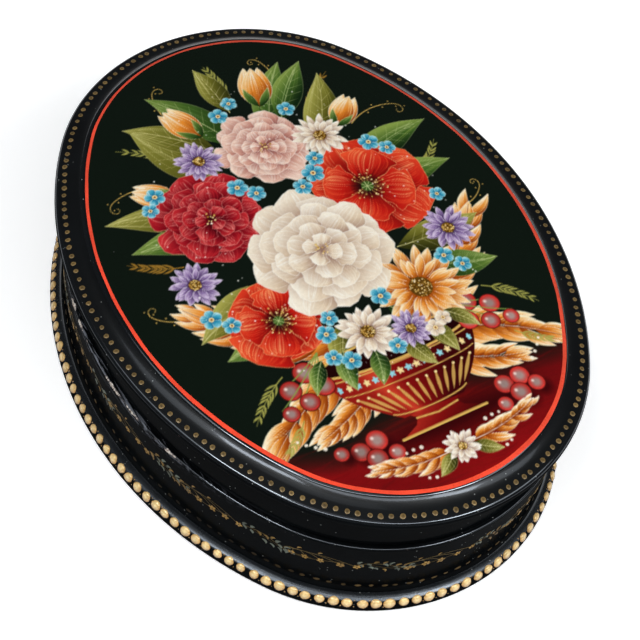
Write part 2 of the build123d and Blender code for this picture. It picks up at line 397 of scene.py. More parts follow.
# Materials
class Nodes:
    """A material's node tree, built one node at a time."""

    def __init__(self, name):
        self.material = bpy.data.materials.new(name)
        self.material.use_nodes = True
        self.tree = self.material.node_tree
        self.shader = self.tree.nodes["Principled BSDF"]
        self.coordinates = self.add("ShaderNodeTexCoord").outputs["Object"]

    def put(self, socket, value):
        """Set a socket to a value, or link another socket to it."""
        if isinstance(value, bpy.types.NodeSocket):
            self.tree.links.new(value, socket)
        elif socket.type == "RGBA":
            socket.default_value = (*(float(c) for c in value), 1.0)
        else:
            socket.default_value = value

    def add(self, kind, sockets=None, **settings):
        """A node with its settings and its input sockets."""
        node = self.tree.nodes.new(kind)
        for key, value in settings.items():
            setattr(node, key, value)
        for key, value in (sockets or {}).items():
            self.put(node.inputs[key], value)
        return node

    def set(self, **values):
        """Set or link the shader's own sockets."""
        for key, value in values.items():
            self.put(self.shader.inputs[key.replace("_", " ")], value)

    def noise(self, scale, detail=3.0, roughness=0.55, stretch=None):
        place = self.coordinates
        if stretch:
            place = self.add("ShaderNodeMapping", {"Vector": place, "Scale": stretch}).outputs["Vector"]
        sockets = {"Vector": place, "Scale": scale, "Detail": detail, "Roughness": roughness}
        return self.add("ShaderNodeTexNoise", sockets).outputs["Fac"]

    def ranged(self, source, low, high, to_low=0.0, to_high=1.0):
        sockets = {"Value": source, "From Min": low, "From Max": high, "To Min": to_low, "To Max": to_high}
        return self.add("ShaderNodeMapRange", sockets).outputs["Result"]

    def maths(self, operation, a, b):
        return self.add("ShaderNodeMath", {0: a, 1: b}, operation=operation).outputs["Value"]

    def mix(self, factor, a, b, blend="MIX"):
        """A mix of colours; they are the mix node's seventh and eighth socket and its third output."""
        sockets = {0: factor, 6: a, 7: b}
        return self.add("ShaderNodeMix", sockets, data_type="RGBA", blend_type=blend).outputs[2]

    def attribute(self, name, output="Fac"):
        return self.add("ShaderNodeAttribute", attribute_name=name).outputs[output]

    def specks(self, scale, size, share):
        """Small round marks in a random share of the cells."""
        cells = self.add("ShaderNodeTexVoronoi", {"Vector": self.coordinates, "Scale": scale}).outputs
        near = self.ranged(cells["Distance"], size * 0.5, size, 1.0, 0.0)
        split = self.add("ShaderNodeSeparateColor", {"Color": cells["Color"]})
        chosen = self.ranged(split.outputs["Red"], share, share * 0.9)
        return self.maths("MULTIPLY", near, chosen)

    def bump(self, *layers):
        """Bump from (height, strength, depth in millimetres) layers."""
        normal = None
        for height, strength, depth in layers:
            sockets = {"Height": height, "Strength": strength, "Distance": depth * MM}
            if normal:
                sockets["Normal"] = normal
            normal = self.add("ShaderNodeBump", sockets).outputs["Normal"]
        self.set(Normal=normal, Coat_Normal=normal)


DUST = linear((176, 180, 178))
FINE_DUST = linear((150, 152, 150))
SCRATCH = linear((134, 138, 148))
PRIMER = linear((76, 64, 62))
PAPER = (linear((112, 72, 46)), linear((255, 248, 236)))


def lacquer(name, deep, shade, specular, worn=False, coat=0.0, coat_rough=0.16, rough=(0.09, 0.2)):
    """Polished lacquer with faint smears, fine dust and a slightly wavy surface."""
    n = Nodes(name)
    colour = n.mix(n.ranged(n.noise(55.0, 4.0), 0.35, 0.7), deep, shade)
    colour = n.mix(n.maths("MULTIPLY", n.specks(1000.0, 0.15, 0.16), 0.55), colour, DUST)
    smear = n.ranged(n.noise(120.0, 5.0, 0.6, (1.0, 1.0, 0.35)), 0.3, 0.75, *rough)
    if worn:
        grain = n.noise(2600.0, 4.0, 0.65)
        ragged = n.maths("ADD", n.attribute("wear"), n.ranged(grain, 0.3, 0.7, -0.22, 0.22))
        ragged = n.maths("ADD", ragged, n.ranged(n.noise(750.0, 3.0, 0.6), 0.3, 0.7, -0.42, 0.3))
        rubbed = n.ranged(n.noise(1500.0, 3.0, 0.6, (0.1, 1.3, 1.3)), 0.52, 0.59, 0.0, 0.9)
        primer = n.ranged(ragged, 0.42, 0.5)
        paper = n.mix(n.ranged(grain, 0.35, 0.65), *PAPER)
        colour = n.mix(n.maths("MULTIPLY", rubbed, n.attribute("rub")), colour, SCRATCH)
        colour = n.mix(primer, colour, PRIMER)
        colour = n.mix(n.ranged(ragged, 0.6, 0.72), colour, paper)
        smear = n.maths("ADD", smear, n.maths("MULTIPLY", primer, 0.5))
    n.set(Base_Color=colour, Roughness=smear, Specular_IOR_Level=specular, Specular_Tint=(0.82, 0.9, 1.0))
    if coat:
        n.set(Coat_Weight=coat, Coat_Roughness=coat_rough)
    n.bump((n.noise(70.0, 2.0), 0.3, 0.12), (n.noise(900.0, 3.0), 0.25, 0.012))
    return n.material


BLACK = linear((4, 5, 6))
SMOKE = linear((9, 12, 14))


def black(name, specular, **look):
    """Black lacquer of one gloss."""
    return lacquer(name, BLACK, SMOKE, specular, **look)


black_lacquer = black("black_lacquer", 0.21, coat=0.36, coat_rough=0.36, rough=(0.08, 0.15))
black_edge = black("black_lacquer_edge", 0.8, worn=True, coat=0.08, coat_rough=0.34, rough=(0.07, 0.14))
black_dull = black("black_lacquer_dull", 0.0, worn=True, coat=0.035)
black_satin = black("black_lacquer_satin", 0.8, rough=(0.22, 0.32))
red_lacquer = lacquer("red_lacquer", linear((154, 22, 12)), linear((166, 27, 15)), 0.3)


def tinted_paint(name, metallic, roughness, specular, grain=0.25):
    """Brushed paint whose colour is in the mesh, with streaks in it."""
    n = Nodes(name)
    tint = n.attribute("tint", "Color")
    dark = n.mix(1.0, tint, (1 - grain, 1 - grain * 1.1, 1 - grain * 1.25), "MULTIPLY")
    light = n.mix(1.0, tint, (1 + grain * 0.5, 1 + grain * 0.45, 1 + grain * 0.35), "MULTIPLY")
    streak = n.ranged(n.noise(1800.0, 4.0, 0.6), 0.3, 0.7)
    rough = n.ranged(n.noise(700.0, 3.0), 0.3, 0.7, roughness - 0.08, roughness + 0.1)
    n.set(Base_Color=n.mix(streak, dark, light), Roughness=rough)
    n.set(Metallic=metallic, Specular_IOR_Level=specular)
    n.bump((n.noise(2200.0, 3.0), 0.35, 0.03))
    return n.material


gold_paint = tinted_paint("gold_paint", 0.2, 0.36, 0.45)
bead_paint = tinted_paint("bead_paint", 0.1, 0.22, 0.9, 0.2)
line_paint = tinted_paint("line_paint", 0.0, 0.3, 0.25, 0.12)
vine_paint = tinted_paint("vine_paint", 0.0, 0.5, 0.08)


def varnished(name):
    """The painted field under its polished varnish."""
    n = Nodes(name)
    tint = n.attribute("tint", "Color")
    dark = n.mix(1.0, tint, (0.9, 0.89, 0.87), "MULTIPLY")
    colour = n.mix(n.ranged(n.noise(1500.0, 4.0, 0.6), 0.3, 0.7), dark, tint)
    colour = n.mix(n.maths("MULTIPLY", n.specks(380.0, 0.05, 0.1), 0.3), colour, FINE_DUST)
    rough = n.ranged(n.noise(140.0, 5.0, 0.6), 0.3, 0.75, 0.1, 0.2)
    n.set(Base_Color=colour, Roughness=rough, Specular_IOR_Level=0.12)
    n.bump((n.noise(60.0, 2.0), 0.3, 0.1), (n.noise(1100.0, 3.0), 0.25, 0.01))
    return n.material


picture_paint = varnished("picture_paint")


def brass(name):
    """Satin brass with drawn lines along the hinge and dull patches."""
    n = Nodes(name)
    dull = n.ranged(n.noise(260.0, 4.0), 0.35, 0.7)
    drawn = n.noise(900.0, 3.0, 0.6, (0.08, 1.0, 1.0))
    n.set(Base_Color=n.mix(dull, linear((214, 178, 104)), linear((150, 112, 58))), Metallic=1.0)
    n.set(Roughness=n.ranged(drawn, 0.3, 0.7, 0.24, 0.42))
    n.bump((drawn, 0.3, 0.02))
    return n.material


hinge_brass = brass("hinge_brass")
for name in ("hinge_leaf_body", "hinge_leaf_lid", "hinge_pin", "hinge_rivets_body", "hinge_rivets_lid"):
    for place in nodes[name].material_slots:
        place.material = hinge_brass

# Base board: black outside, red floor inside
floor_edge = (WALL_INSIDE + LINER_OUTSIDE) / 2 - UNDER_LINER
board_finishes = [black_lacquer, red_lacquer, black_dull, black_edge, black_satin]
base_rows = [black_dull if tilt > STEEP else black_satin for tilt in tilt_rows(base_edge)]
base = board("base", base_edge, BASE_STEPS, board_finishes, base_rows, None, [], [floor_edge])
settle(base, "body", "black_lacquer", "base_board")

# Hinge notch, as the CAD walls have it
pin_low, pin_high = box_mm("hinge_pin")
axis_y = (pin_low[1] + pin_high[1]) / 2
axis_z = (pin_low[2] + pin_high[2]) / 2
notch_x = pin_high[0] + HINGE_CLEARANCE


def cut_notch(piece, below, above):
    """Make room for the hinge in a wall, from below to above the hinge's axis."""
    low = (-notch_x, axis_y - HINGE_REACH, axis_z - below)
    cut_away(piece, low, (notch_x, HALF_WIDTH + BASE_SPREAD, axis_z + above))


# Body wall: the seam's edge is glossy, the flare and level parts satin, the rest dull
wall_section = merge(
    wall_outside,
    straight((LID_OUTSIDE - UNDER_LID, WALL_TOP), (WALL_INSIDE, WALL_TOP), 4),
    straight((WALL_INSIDE, WALL_TOP), (WALL_INSIDE, BASE_TOP), 4),
    straight((WALL_INSIDE, BASE_TOP), (joint_spread, BASE_TOP), 4)[:-1],
)
wall_rows = []
for (_, z), tilt in zip(wall_section, tilt_rows(wall_section)):
    at_seam = z > seam_low - NEAR
    if tilt > (STEEP if at_seam else WALL_STEEP):
        wall_rows.append(black_dull)
    else:
        wall_rows.append(black_edge if at_seam else black_satin)
wall_finishes = [black_edge, black_dull, black_satin]
body_shell = wall_ring("body_shell", wall_section, WALL_STEPS, wall_finishes, wall_rows)
cut_notch(body_shell, HINGE_REACH, 1)
settle(body_shell, "body", "black_lacquer", "body_wall")

# Liner: red inside and on its top, black where the lid slides over it
liner_section = merge(
    straight((LINER_OUTSIDE, BASE_TOP), (LINER_OUTSIDE, LINER_TOP - LINER_BEVEL), 8),
    straight((LINER_OUTSIDE, LINER_TOP - LINER_BEVEL), (LINER_OUTSIDE - LINER_BEVEL, LINER_TOP), 4),
    straight((LINER_OUTSIDE - LINER_BEVEL, LINER_TOP), (LINER_INSIDE + LINER_ROUND, LINER_TOP), 3),
    arc(LINER_INSIDE + LINER_ROUND, LINER_TOP - LINER_ROUND, LINER_ROUND, QUARTER, math.pi, 6),
    straight((LINER_INSIDE, LINER_TOP - LINER_ROUND), (LINER_INSIDE, BASE_TOP), 8),
)
LINER_OUTSIDE_ROWS = range(7)
liner_rows = [
    black_lacquer if k in LINER_OUTSIDE_ROWS else red_lacquer for k in range(len(liner_section))
]
liner = wall_ring("liner", liner_section, BASE_STEPS, [red_lacquer, black_lacquer], liner_rows)
settle(liner, "body", "red_lacquer", "body_liner")

# Lid wall: black outside, red inside
lid_round = LID_BOTTOM + LID_ROUND
lid_section = merge(
    straight((LID_OUTSIDE, lid_round), (LID_OUTSIDE, BOARD_BOTTOM), 8),
    straight((LID_OUTSIDE, BOARD_BOTTOM), (LID_INSIDE, BOARD_BOTTOM), 4),
    straight((LID_INSIDE, BOARD_BOTTOM), (LID_INSIDE, lid_round), 8),
    arc(LID_INSIDE + LID_ROUND, lid_round, LID_ROUND, math.pi, 3 * QUARTER, 5),
    straight((LID_INSIDE + LID_ROUND, LID_BOTTOM), (LID_OUTSIDE - LID_ROUND, LID_BOTTOM), 4),
    arc(LID_OUTSIDE - LID_ROUND, lid_round, LID_ROUND, 3 * QUARTER, 4 * QUARTER, 5)[:-1],
)
LID_INSIDE_ROWS = range(10, 18)
lid_rows = [red_lacquer if k in LID_INSIDE_ROWS else black_dull for k in range(len(lid_section))]
lid_shell = wall_ring("lid_shell", lid_section, LID_STEPS, [black_dull, red_lacquer], lid_rows)
cut_notch(lid_shell, 1, HINGE_REACH)
settle(lid_shell, "lid", "black_lacquer", "lid_wall")

# Lid board: moulded rim, cove and crowned field above, red ceiling below
rim_rows = []
for (w, z), tilt in zip(board_rim, tilt_rows(board_rim)):
    if z < rim_middle or (tilt > STEEP and w > 0):
        rim_rows.append(black_dull)
    elif (w > border_outside and tilt > RIM_ROUND) or (w < field_edge + NEAR and z < FIELD - NEAR):
        rim_rows.append(black_edge)
    else:
        rim_rows.append(black_lacquer)
ceiling = [LID_INSIDE + CEILING_EDGE]
lid_top = board("lid_top", board_rim, LID_STEPS, board_finishes, rim_rows, field_top, ceiling, [])
settle(lid_top, "lid", "black_lacquer", "lid_board")


# Painted ornament on a moulded surface: s runs along the wall, v along the section
class Surface:
    """A section that carries paint."""

    def __init__(self, section):
        self.points = np.array(section)
        steps = np.hypot(*np.diff(self.points, axis=0).T)
        self.length = np.concatenate([[0], np.cumsum(steps)])
        direction = np.gradient(self.points, self.length, axis=0)
        normal = np.stack([direction[:, 1], -direction[:, 0]], axis=1)
        self.normals = normal / np.linalg.norm(normal, axis=1, keepdims=True)

    def at(self, s, v, rise):
        """Points at distances s and v, raised off the surface."""
        s, v, rise = np.broadcast_arrays(*(np.asarray(a, float) for a in (s, v, rise)))
        shape = s.shape
        s, v, rise = s.ravel(), v.ravel(), rise.ravel()
        w = np.interp(v, self.length, self.points[:, 0])
        z = np.interp(v, self.length, self.points[:, 1])
        nw = np.interp(v, self.length, self.normals[:, 0])
        nz = np.interp(v, self.length, self.normals[:, 1])
        line, normal = wall_line(s)
        plan = line + normal * (w + rise * nw)[:, None]
        return np.column_stack([plan, z + rise * nz]).reshape(shape + (3,))

    def height_to_v(self, z):
        """The distance along the section where it first reaches a height."""
        return float(np.interp(z, self.points[:, 1], self.length))


class FieldSurface(Surface):
    """The rim's section, carried on over the crowned field."""

    def at(self, s, v, rise):
        points = super().at(s, v, rise)
        beyond = np.maximum(np.broadcast_to(v, points.shape[:-1]) - self.length[-1], 0)
        _, normal = wall_line(np.broadcast_to(s, points.shape[:-1]).ravel())
        points[..., :2] -= normal.reshape(points.shape[:-1] + (2,)) * beyond[..., None]
        dome = field_top(points[..., 0], points[..., 1]) + np.broadcast_to(rise, points.shape[:-1])
        points[..., 2] = np.where(beyond > 0, dome, points[..., 2])
        return points


rng = np.random.default_rng(11)
LIFT = 0.006
STROKE_SECTION = ((-1, 0.004), (-0.55, 0.8), (0, 1.0), (0.55, 0.8), (1, 0.004))
FULL_TURN = 6.3


class Ornament:
    """Strokes and dots of paint gathered into one mesh."""

    def __init__(self, surface):
        self.surface = surface
        self.points = []
        self.faces = []
        self.colours = []
        self.count = 0

    def add(self, points, faces, colours):
        self.points.append(points)
        self.colours.append(np.broadcast_to(colours, points.shape))
        self.faces.extend(tuple(int(i) + self.count for i in face) for face in faces)
        self.count += len(points)

    def dot(self, s, v, half_s, half_v, rise, inner, outer, turn=0.0, lumps=0.1, rings=4, sides=16,
            under=0.0, uneven=0.1):
        """A rounded dab of paint with an uneven edge; where asked, painted light and shade make its upper
        side lighter and its lower side darker.
        """
        around = np.linspace(0, 2 * math.pi, sides, endpoint=False)
        edge = 1 + lumps * (
            rng.normal() * np.cos(around + rng.uniform(0, FULL_TURN))
            + rng.normal() * np.cos(2 * around + rng.uniform(0, FULL_TURN))
            + 0.7 * rng.normal() * np.cos(3 * around + rng.uniform(0, FULL_TURN))
        )
        points = []
        colours = []
        for k in range(rings + 1):
            r = 1 - k / rings
            x = half_s * r * edge * np.cos(around)
            y = half_v * r * edge * np.sin(around)
            ds = x * math.cos(turn) - y * math.sin(turn)
            dv = x * math.sin(turn) + y * math.cos(turn)
            height = LIFT + rise * math.sqrt(max(1 - r**2.4, 0))
            if k == rings:
                ds, dv = ds[:1], dv[:1]
            height = height * (1 + uneven * rng.normal(size=len(ds)))
            points.append(self.surface.at(s + ds, v + dv, height))
            share = np.full(len(ds), (1 - r) ** 0.8)
            # Painted light and shade: under makes the upper side lighter and the lower side darker.
            painted_top_light = under * r * np.sin(around[:len(ds)])
            share = np.clip(share + painted_top_light + 1.2 * uneven * rng.normal(size=len(ds)), 0, 1)[:, None]
            colours.append((inner * share + outer * (1 - share)) * (1 + painted_top_light[:, None]))
        faces = []
        for k in range(rings):
            a = k * sides
            b = a + sides
            for i in range(sides):
                j = (i + 1) % sides
                inward = (b,) if k == rings - 1 else (b + j, b + i)
                faces.append((a + i, a + j, *inward))
        self.add(np.concatenate(points), faces, np.concatenate(colours))

    def stroke(self, path_s, path_v, half_width, rise, colour, closed=False):
        """A raised line of paint along a path."""
        path_s = np.asarray(path_s, float)
        path_v = np.asarray(path_v, float)
        if closed:
            along_s = np.roll(path_s, -1) - np.roll(path_s, 1)
            along_s = (along_s + AROUND / 2) % AROUND - AROUND / 2
            along_v = np.roll(path_v, -1) - np.roll(path_v, 1)
        else:
            along_s = np.gradient(path_s)
            along_v = np.gradient(path_v)
        size = np.hypot(along_s, along_v) + 1e-9
        side_s, side_v = -along_v / size, along_s / size
        half_width = np.broadcast_to(half_width, path_s.shape)
        rows = []
        for across, lift in STROKE_SECTION:
            offset = across * half_width
            there = (path_s + side_s * offset, path_v + side_v * offset)
            rows.append(self.surface.at(*there, LIFT + rise * lift))
        points = np.stack(rows, axis=1)
        faces, _ = ring_faces(*points.shape[:2], False, closed)
        colour = np.asarray(colour, float)
        if colour.ndim == 2:
            colour = np.repeat(colour, len(STROKE_SECTION), axis=0)
        self.add(points.reshape(-1, 3), faces, colour)

    def finish(self, name, material, body, slot):
        """Make the mesh and let it ride on a body."""
        points = np.concatenate(self.points)
        colours = np.concatenate(self.colours)
        piece = build_mesh(name, points, self.faces, [material], colours=colours, sharp=60.0)
        return settle(piece, body, slot)


base_surface = Surface(base_edge[:-1])
wall_surface = Surface(wall_outside)
rim_surface = Surface(board_rim)


def lit_side(s, middle=0.5):
    """How far the wall at s faces the lamps, 0 to 1, used for painted light and shade."""
    outward = wall_line(s)[1][0]
    return float(np.clip(middle + 0.75 * (outward[0] * 0.8 - outward[1] * 0.6), 0, 1))


def mixed(share, first, last):
    """A share of the first colour in the last one."""
    return linear(first) * share + linear(last) * (1 - share)


# Gold beads round the base, with specks between them
beads = Ornament(base_surface)
BEADS = 135
BEAD_HEIGHT = 2.76
BEAD_HALF = 1.13
BEAD_RISE = 0.4
SPECK_HALF = 0.13
bead_v = base_surface.height_to_v(BEAD_HEIGHT)
for i in range(BEADS):
    s = (i + rng.normal(0, 0.035)) * AROUND / BEADS
    half = BEAD_HALF * (1 + rng.normal(0, 0.04))
    # Painted light and shade on the beads: paler, with a pale heart as a painted highlight, on the side
    # facing the lamps; duller and darker away from them; under=0.42 lightens each top and darkens each lower
    # side.
    lit = lit_side(s)
    heart = mixed(lit, (255, 228, 164), (132, 95, 37)) * (1 + rng.normal(0, 0.06))
    rim = mixed(lit, (200, 144, 64), (146, 112, 56)) * (1 + rng.normal(0, 0.08))
    edge = linear((170, 132, 78)) * (1 + rng.normal(0, 0.08))
    beads.dot(s, bead_v + rng.normal(0, 0.05), half * 0.96, half * 0.92, BEAD_RISE, heart, rim,
              lumps=0.035, rings=8, sides=24, under=0.42, uneven=0.025)
    for side in (-0.62, 0.62):
        if rng.random() < 0.6:
            small = SPECK_HALF * (1 + rng.normal(0, 0.2))
            there = s + AROUND / BEADS / 2 + rng.normal(0, 0.06)
            speck_v = bead_v + side * 1.25 + rng.normal(0, 0.05)
            beads.dot(there, speck_v, small, small, 0.06, edge, edge, rings=2, sides=9)
beads.finish("base_beads", bead_paint, "body", "gold_paint")

# Brown-gold dots round the lid's border, spaced a little unevenly
dots = Ornament(rim_surface)
DOTS = 178
DOT_HALF = 0.51
DOT_INSET = 0.35
DOT_DRIFT = 2.05
DRIFT_START = 308
dot_v = float(np.interp(DOT_INSET, -rim_surface.points[:, 0], rim_surface.length))
for i in range(DOTS):
    s = (i + rng.normal(0, 0.05)) * AROUND / DOTS
    s += DOT_DRIFT * math.sin(4 * math.pi * (s - DRIFT_START) / AROUND)
    half = DOT_HALF * (1 + rng.normal(0, 0.07))
    shade = rng.normal(0, 0.12)
    ring = linear((142, 118, 74)) * (1 + shade)
    heart = linear((70, 54, 26)) * (1 + shade) * rng.uniform(0.8, 2.2)
    dots.dot(s, dot_v + rng.normal(0, 0.07), half, half * 1.02, 0.06, heart, ring, lumps=0.032)
dots.finish("rim_dots", gold_paint, "lid", "gold_paint")

# Red line near the edge of the field, drawn by hand and a little off the middle
LINE_SHIFT = np.array([0.17, 0.3])
line = Ornament(FieldSurface(board_rim))
along = np.linspace(0, AROUND, 900, endpoint=False)
outward = wall_line(along)[1]
turn = 2 * math.pi * along / AROUND
line_v = rim_surface.length[-1] - (LINE_INSET + crown_edge)
wander = 0.05 * np.sin(3 * turn + 1.0) + 0.03 * np.sin(11 * turn) + 0.02 * np.sin(29 * turn + 2)
wander -= outward @ LINE_SHIFT
width = 0.385 + 0.095 * np.cos(turn) + 0.03 * np.sin(5 * turn + 0.4) + 0.02 * np.sin(37 * turn)
tone = (1 + 0.06 * np.sin(17 * turn) + 0.04 * np.sin(43 * turn + 1))[:, None]
# Painted light: the red line is brighter where it faces the lamps and duller on the far side.
front = np.clip(0.5 + 0.62 * (outward @ np.array([0.77, -0.63])), 0, 1)[:, None]
red = mixed(front, (252, 80, 54), (206, 76, 56))
line.stroke(along, line_v + wander, width, 0.035, red * tone, closed=True)
line.finish("red_line", line_paint, "lid", "picture_paint")

# Vine round the body wall: sprigs of grey-green leaves that end in gold flowers on curled stems
vine = Ornament(wall_surface)
VINE_HEIGHT = 14.8
LOOPS = 15
vine_v = wall_surface.height_to_v(VINE_HEIGHT)
loop = AROUND / LOOPS
GILT = linear((170, 134, 72))
PALE = linear((106, 114, 104))
OLD = linear((92, 76, 40))
SPRIG = (0.02, 0.08, 0.14, 0.2, 0.26, 0.32, 0.38, 0.44)
BLOOMS = (0.44, 0.57, 0.71, 0.85, 0.98)
STEM_SHARE = 0.62


def brush_leaf(s, v, angle, long, wide, tint):
    """A pointed leaf, laid down with one touch of the brush."""
    t = np.linspace(0, 1, 9)
    bend = 0.25 * long * np.sin(math.pi * t)
    path_s = s + long * t * math.cos(angle) - bend * math.sin(angle)
    path_v = v + long * t * math.sin(angle) + bend * math.cos(angle)
    shades = np.linspace(0.7, 1.15, 9)[:, None] * tint
    vine.stroke(path_s, path_v, wide * np.sin(math.pi * t**0.8) ** 0.8 + 0.02, 0.05, shades)


def vine_flower(s, v, size, tint):
    """Five petals round a dark heart."""
    opening = rng.uniform(0, 1.2)
    for petal_turn in np.arange(5) * 1.257 + opening:
        angle = petal_turn + rng.normal(0, 0.15)
        petal_s = s + 0.42 * size * math.cos(angle)
        petal_v = v + 0.42 * size * math.sin(angle)
        shade = tint * rng.uniform(0.75, 1.25)
        vine.dot(petal_s, petal_v, 0.37 * size, 0.27 * size, 0.06, shade * 1.15, shade * 0.6,
                 turn=angle, rings=3, sides=11)
    vine.dot(s, v, 0.16 * size, 0.16 * size, 0.09, OLD * 0.5, OLD * 0.4, rings=2, sides=9)


for k in range(LOOPS):
    start = k * loop + rng.normal(0, 0.3)
    # Painted shade: each sprig's colours are darker on the side of the wall that faces away from the lamps.
    painted_side_shade = 0.35 + 0.7 * lit_side(start + 0.5 * loop, 0.45)
    f = np.linspace(0, 1, 40)
    stem = 1.0 * np.sin(5.2 * f + 0.4) + 0.2 * np.sin(11 * f + rng.uniform(0, 6))
    under = 0.4 - 1.4 * np.sin(math.pi * f) + 0.2 * np.sin(9 * f + rng.uniform(0, 6))
    stem_s = start + f * STEM_SHARE * loop
    vine.stroke(stem_s, vine_v + stem, 0.078 * (1.15 - 0.5 * f), 0.03, OLD * painted_side_shade * rng.uniform(0.75, 1.0))
    under_s = start + (0.1 + 0.8 * f) * loop
    vine.stroke(under_s, vine_v + under, 0.06 * (0.6 + f), 0.025, OLD * painted_side_shade * rng.uniform(0.6, 0.9))
    for place in SPRIG:
        for height, side in ((stem, 1), (stem, -1), (under, -1)):
            if rng.random() < 0.25:
                continue
            s = start + (place + rng.normal(0, 0.012)) * loop
            v = vine_v + np.interp(place / STEM_SHARE, f, height) + side * 0.1
            tint = (PALE if rng.random() < 0.62 else GILT * 0.7) * painted_side_shade * rng.uniform(0.55, 1.15)
            lean = side * rng.uniform(0.5, 1.0)
            brush_leaf(s, v, lean, rng.uniform(1.1, 1.6), rng.uniform(0.24, 0.36), tint)
    root_s = start + 0.38 * loop
    for j, place in enumerate(BLOOMS):
        s = start + (place + rng.normal(0, 0.012)) * loop
        v = vine_v - 0.3 - 0.5 * math.sin(3 * place) + rng.normal(0, 0.25)
        size = rng.uniform(0.98, 1.25)
        vine_flower(s, v, size, GILT * painted_side_shade * rng.uniform(0.65, 1.15))
        bend = np.linspace(0, 1, 18)
        arch = rng.uniform(1.2, 1.5) + 0.12 * j
        path_s = root_s + (s - root_s) * bend + 0.9 * np.sin(math.pi * bend)
        path_v = vine_v + (v - vine_v) * bend + arch * np.sin(math.pi * bend**0.9)
        vine.stroke(path_s, path_v, 0.05 + 0.035 * bend, 0.02, OLD * painted_side_shade * rng.uniform(0.8, 1.2))
        if j % 2:
            leaf_s = root_s + (s - root_s) * 0.6
            leaf_v = vine_v + arch + 0.1
            brush_leaf(leaf_s, leaf_v, rng.uniform(0.3, 0.9), rng.uniform(0.8, 1.1), 0.2, GILT * painted_side_shade * 0.7)
vine.finish("vine_band", vine_paint, "body", "gold_paint")

# Short dashes on the flare at the foot of the wall, faded round the front
dashes = Ornament(wall_surface)
DASHES = 135
DASH_HEIGHT = 6.1
DASH_HALF = (0.64, 0.44)
FADE_TURN = -66
FADE_SPREAD = 26
dash_v = wall_surface.height_to_v(DASH_HEIGHT)
for k in range(DASHES):
    s = (k + 0.5 + rng.normal(0, 0.06)) * AROUND / DASHES
    outward = wall_line(s)[1][0]
    from_front = (math.degrees(math.atan2(outward[1], outward[0])) - FADE_TURN) / FADE_SPREAD
    faded = 1 - 0.9 * math.exp(-from_front**2)
    tint = linear((106, 86, 54)) * faded * rng.uniform(0.4, 1.1)
    wide = DASH_HALF[0] * rng.uniform(0.75, 1.15)
    high = DASH_HALF[1] * rng.uniform(0.8, 1.2)
    dashes.dot(s, dash_v + rng.normal(0, 0.07), wide, high, 0.03, tint * 1.1, tint * 0.75,
               turn=0.12, lumps=0.06, rings=3, sides=14)
dashes.finish("foot_dashes", vine_paint, "body", "gold_paint")


# Painter: a fine grid of colours, u to the right and v up, in millimetres
PAINT_PITCH = 0.21
PAINT_LIFT = 0.015
TINY = 1e-12


def rgb(red, green, blue):
    """A colour written as 0 to 255."""
    return np.array([red, green, blue]) / 255


def heading(angle):
    """The unit vector that points along an angle."""
    return np.array([math.cos(angle), math.sin(angle)])


def near_segments(u, v, start, step):
    """For each point and segment: where it is nearest, how far off, and the way from the start."""
    du = u[..., None] - start[:, 0]
    dv = v[..., None] - start[:, 1]
    t = np.clip((du * step[:, 0] + dv * step[:, 1]) / ((step**2).sum(1) + TINY), 0, 1)
    return t, np.hypot(du - t * step[:, 0], dv - t * step[:, 1]), du, dv


